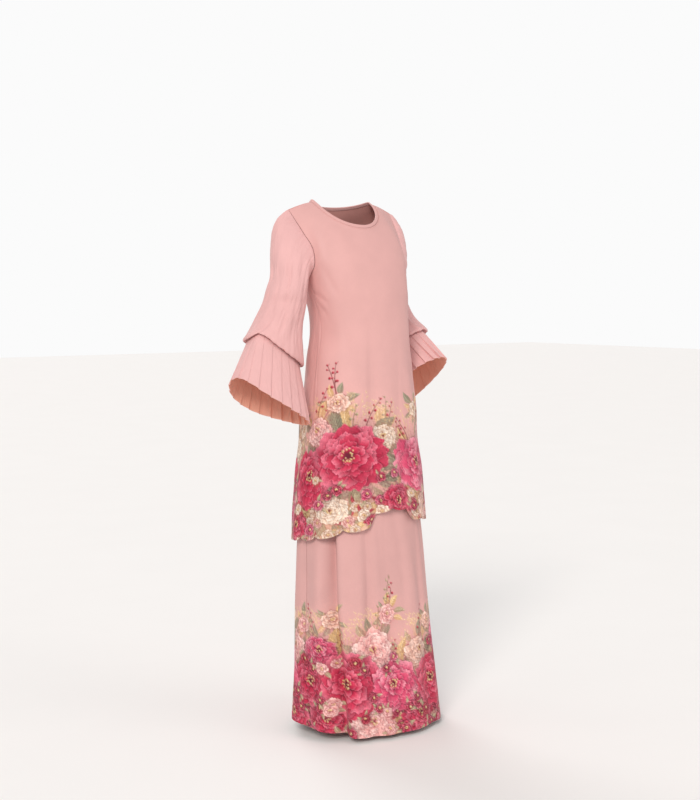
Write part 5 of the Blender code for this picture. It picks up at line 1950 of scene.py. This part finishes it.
@dataclass
class Studio:
    """Pale floor, soft lights and the camera."""

    floor_height: float = -1.352
    floor_size: float = 40.0
    floor_colour: str = "f1efed"
    camera_turn: float = -37.0
    camera_distance: float = 3.8
    camera_height: float = -0.22
    aim: Triple = (0.0166, -0.0125, -0.506)
    lens: float = 65.8
    backdrop_colour: str = "fbfbfb"
    sky_colour: str = "f6f6f7"
    sky_strength: float = 0.60

    def add_light(self, name: str, towards: Triple, spread: float, power: float, colour: str) -> None:
        """Add a soft distant light, like a large softbox far away.

        Args:
            name: Its name.
            towards: The way from the garment to the light.
            spread: How wide it looks from the garment, in degrees.
            power: Its strength.
            colour: Its colour, as sRGB hex.
        """
        light = bpy.data.lights.new(name, "SUN")
        light.angle = radians(spread)
        light.energy = power
        light.color = linear(colour)
        lamp = place_object(name, light)
        lamp.location = Vector(towards).normalized() * 4.0
        lamp.rotation_euler = Vector(towards).to_track_quat("Z", "Y").to_euler()

    def build_camera(self) -> None:
        """Place the camera."""
        camera = bpy.data.cameras.new("camera")
        camera.lens = self.lens
        camera.sensor_width = 36.0
        stand = place_object("camera", camera)
        turn = radians(self.camera_turn)
        place = Vector((self.aim[0] + sin(turn) * self.camera_distance,
                        self.aim[1] - cos(turn) * self.camera_distance, self.camera_height))
        stand.location = place
        stand.rotation_euler = (Vector(self.aim) - place).to_track_quat("-Z", "Y").to_euler()
        bpy.context.scene.camera = stand

    def build_floor(self) -> None:
        """Lay the floor."""
        half = self.floor_size / 2
        mesh = bpy.data.meshes.new("studio_floor")
        corners = [(x * half, y * half, self.floor_height) for x, y in ((-1, -1), (1, -1), (1, 1), (-1, 1))]
        mesh.from_pydata(corners, [], [(0, 1, 2, 3)])
        floor = place_object("studio_floor", mesh)
        material = bpy.data.materials.new("painted studio floor")
        material.use_nodes = True
        tree = material.node_tree
        shader = tree.nodes["Principled BSDF"]
        place = add_node(tree, "ShaderNodeTexCoord").outputs["Object"]
        dust = add_node(tree, "ShaderNodeTexNoise", inputs={"Vector": place, "Scale": 3.0, "Detail": 2.0})
        tint = add_node(tree, "ShaderNodeMapRange", inputs={
            "Value": dust.outputs["Fac"], "To Min": 0.985, "To Max": 1.01})
        colour = add_node(tree, "ShaderNodeVectorMath", {"operation": "SCALE"},
                          {0: linear(self.floor_colour), "Scale": tint.outputs["Result"]})
        tree.links.new(colour.outputs["Vector"], shader.inputs["Base Color"])
        shader.inputs["Roughness"].default_value = 0.85
        mesh.materials.append(material)

    def build(self) -> None:
        """Build floor, lights, surroundings and camera."""
        scene = bpy.context.scene
        scene.view_settings.view_transform = "Standard"
        world = bpy.data.worlds.new("studio")
        world.use_nodes = True
        tree = world.node_tree
        tree.nodes.remove(tree.nodes["Background"])
        sky = add_node(tree, "ShaderNodeBackground", inputs={
            "Color": (*linear(self.sky_colour), 1.0), "Strength": self.sky_strength})
        backdrop = add_node(tree, "ShaderNodeBackground",
                            inputs={"Color": (*linear(self.backdrop_colour), 1.0)})
        seen = add_node(tree, "ShaderNodeLightPath")
        both = add_node(tree, "ShaderNodeMixShader", inputs={
            0: seen.outputs["Is Camera Ray"], 1: sky.outputs["Background"],
            2: backdrop.outputs["Background"]})
        tree.links.new(both.outputs["Shader"], tree.nodes["World Output"].inputs["Surface"])
        scene.world = world
        self.build_floor()
        self.add_light("key", (-0.78, -0.66, 0.62), 20.0, 1.84, "fffaf5")
        self.add_light("fill", (0.55, -0.90, 0.35), 40.0, 0.55, "fff6f2")
        self.add_light("back", (0.2, 0.9, 0.75), 30.0, 0.75, "ffffff")
        self.build_camera()


def main() -> None:
    """Build the set piece by piece, then the studio."""
    logging.basicConfig(level=logging.INFO, format="%(message)s")
    satin, chiffon = satin_backed_crepe(), crinkled_chiffon()
    body = TunicBody()
    body.build(satin)
    NeckBinding().build(body, satin)
    fullness = {Side.RIGHT: 1.15, Side.LEFT: 0.85}
    for side in Side:
        tier = SleeveTier(side, body, fullness[side], SLEEVE_OVALS[side.word], TIER_LIFTS[side.word],
                          SLEEVE_CREASES[side.word], UNDERARM_SWING[side.word])
        tier.build(chiffon)
        PleatedFlounce(tier, FLOUNCE_HEMS[side.word], FLOUNCE_LIFTS[side.word]).build(chiffon)
    skirt = Skirt()
    skirt.build(satin)
    skirt.build_waistband(woven_elastic())
    stitches = Topstitching()
    tip = SHOULDER_STEPS * body.columns_per_step
    for name in ("tunic_front", "tunic_back"):
        panel = body.panels[name]
        stitches.add_line(panel.grid[1, tip:-tip], panel.directions[1, tip:-tip])
    for panel in body.panels.values():
        stitches.add_line(panel.grid[body.stitch_row], panel.directions[body.stitch_row])
    for panel in skirt.panels.values():
        directions = wall_directions(panel.grid, False)
        stitches.add_line(panel.grid[skirt.stitch_row], directions[skirt.stitch_row])
    stitches.build(sewing_thread())
    Studio().build()
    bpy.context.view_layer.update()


if __name__ == "__main__":
    main()
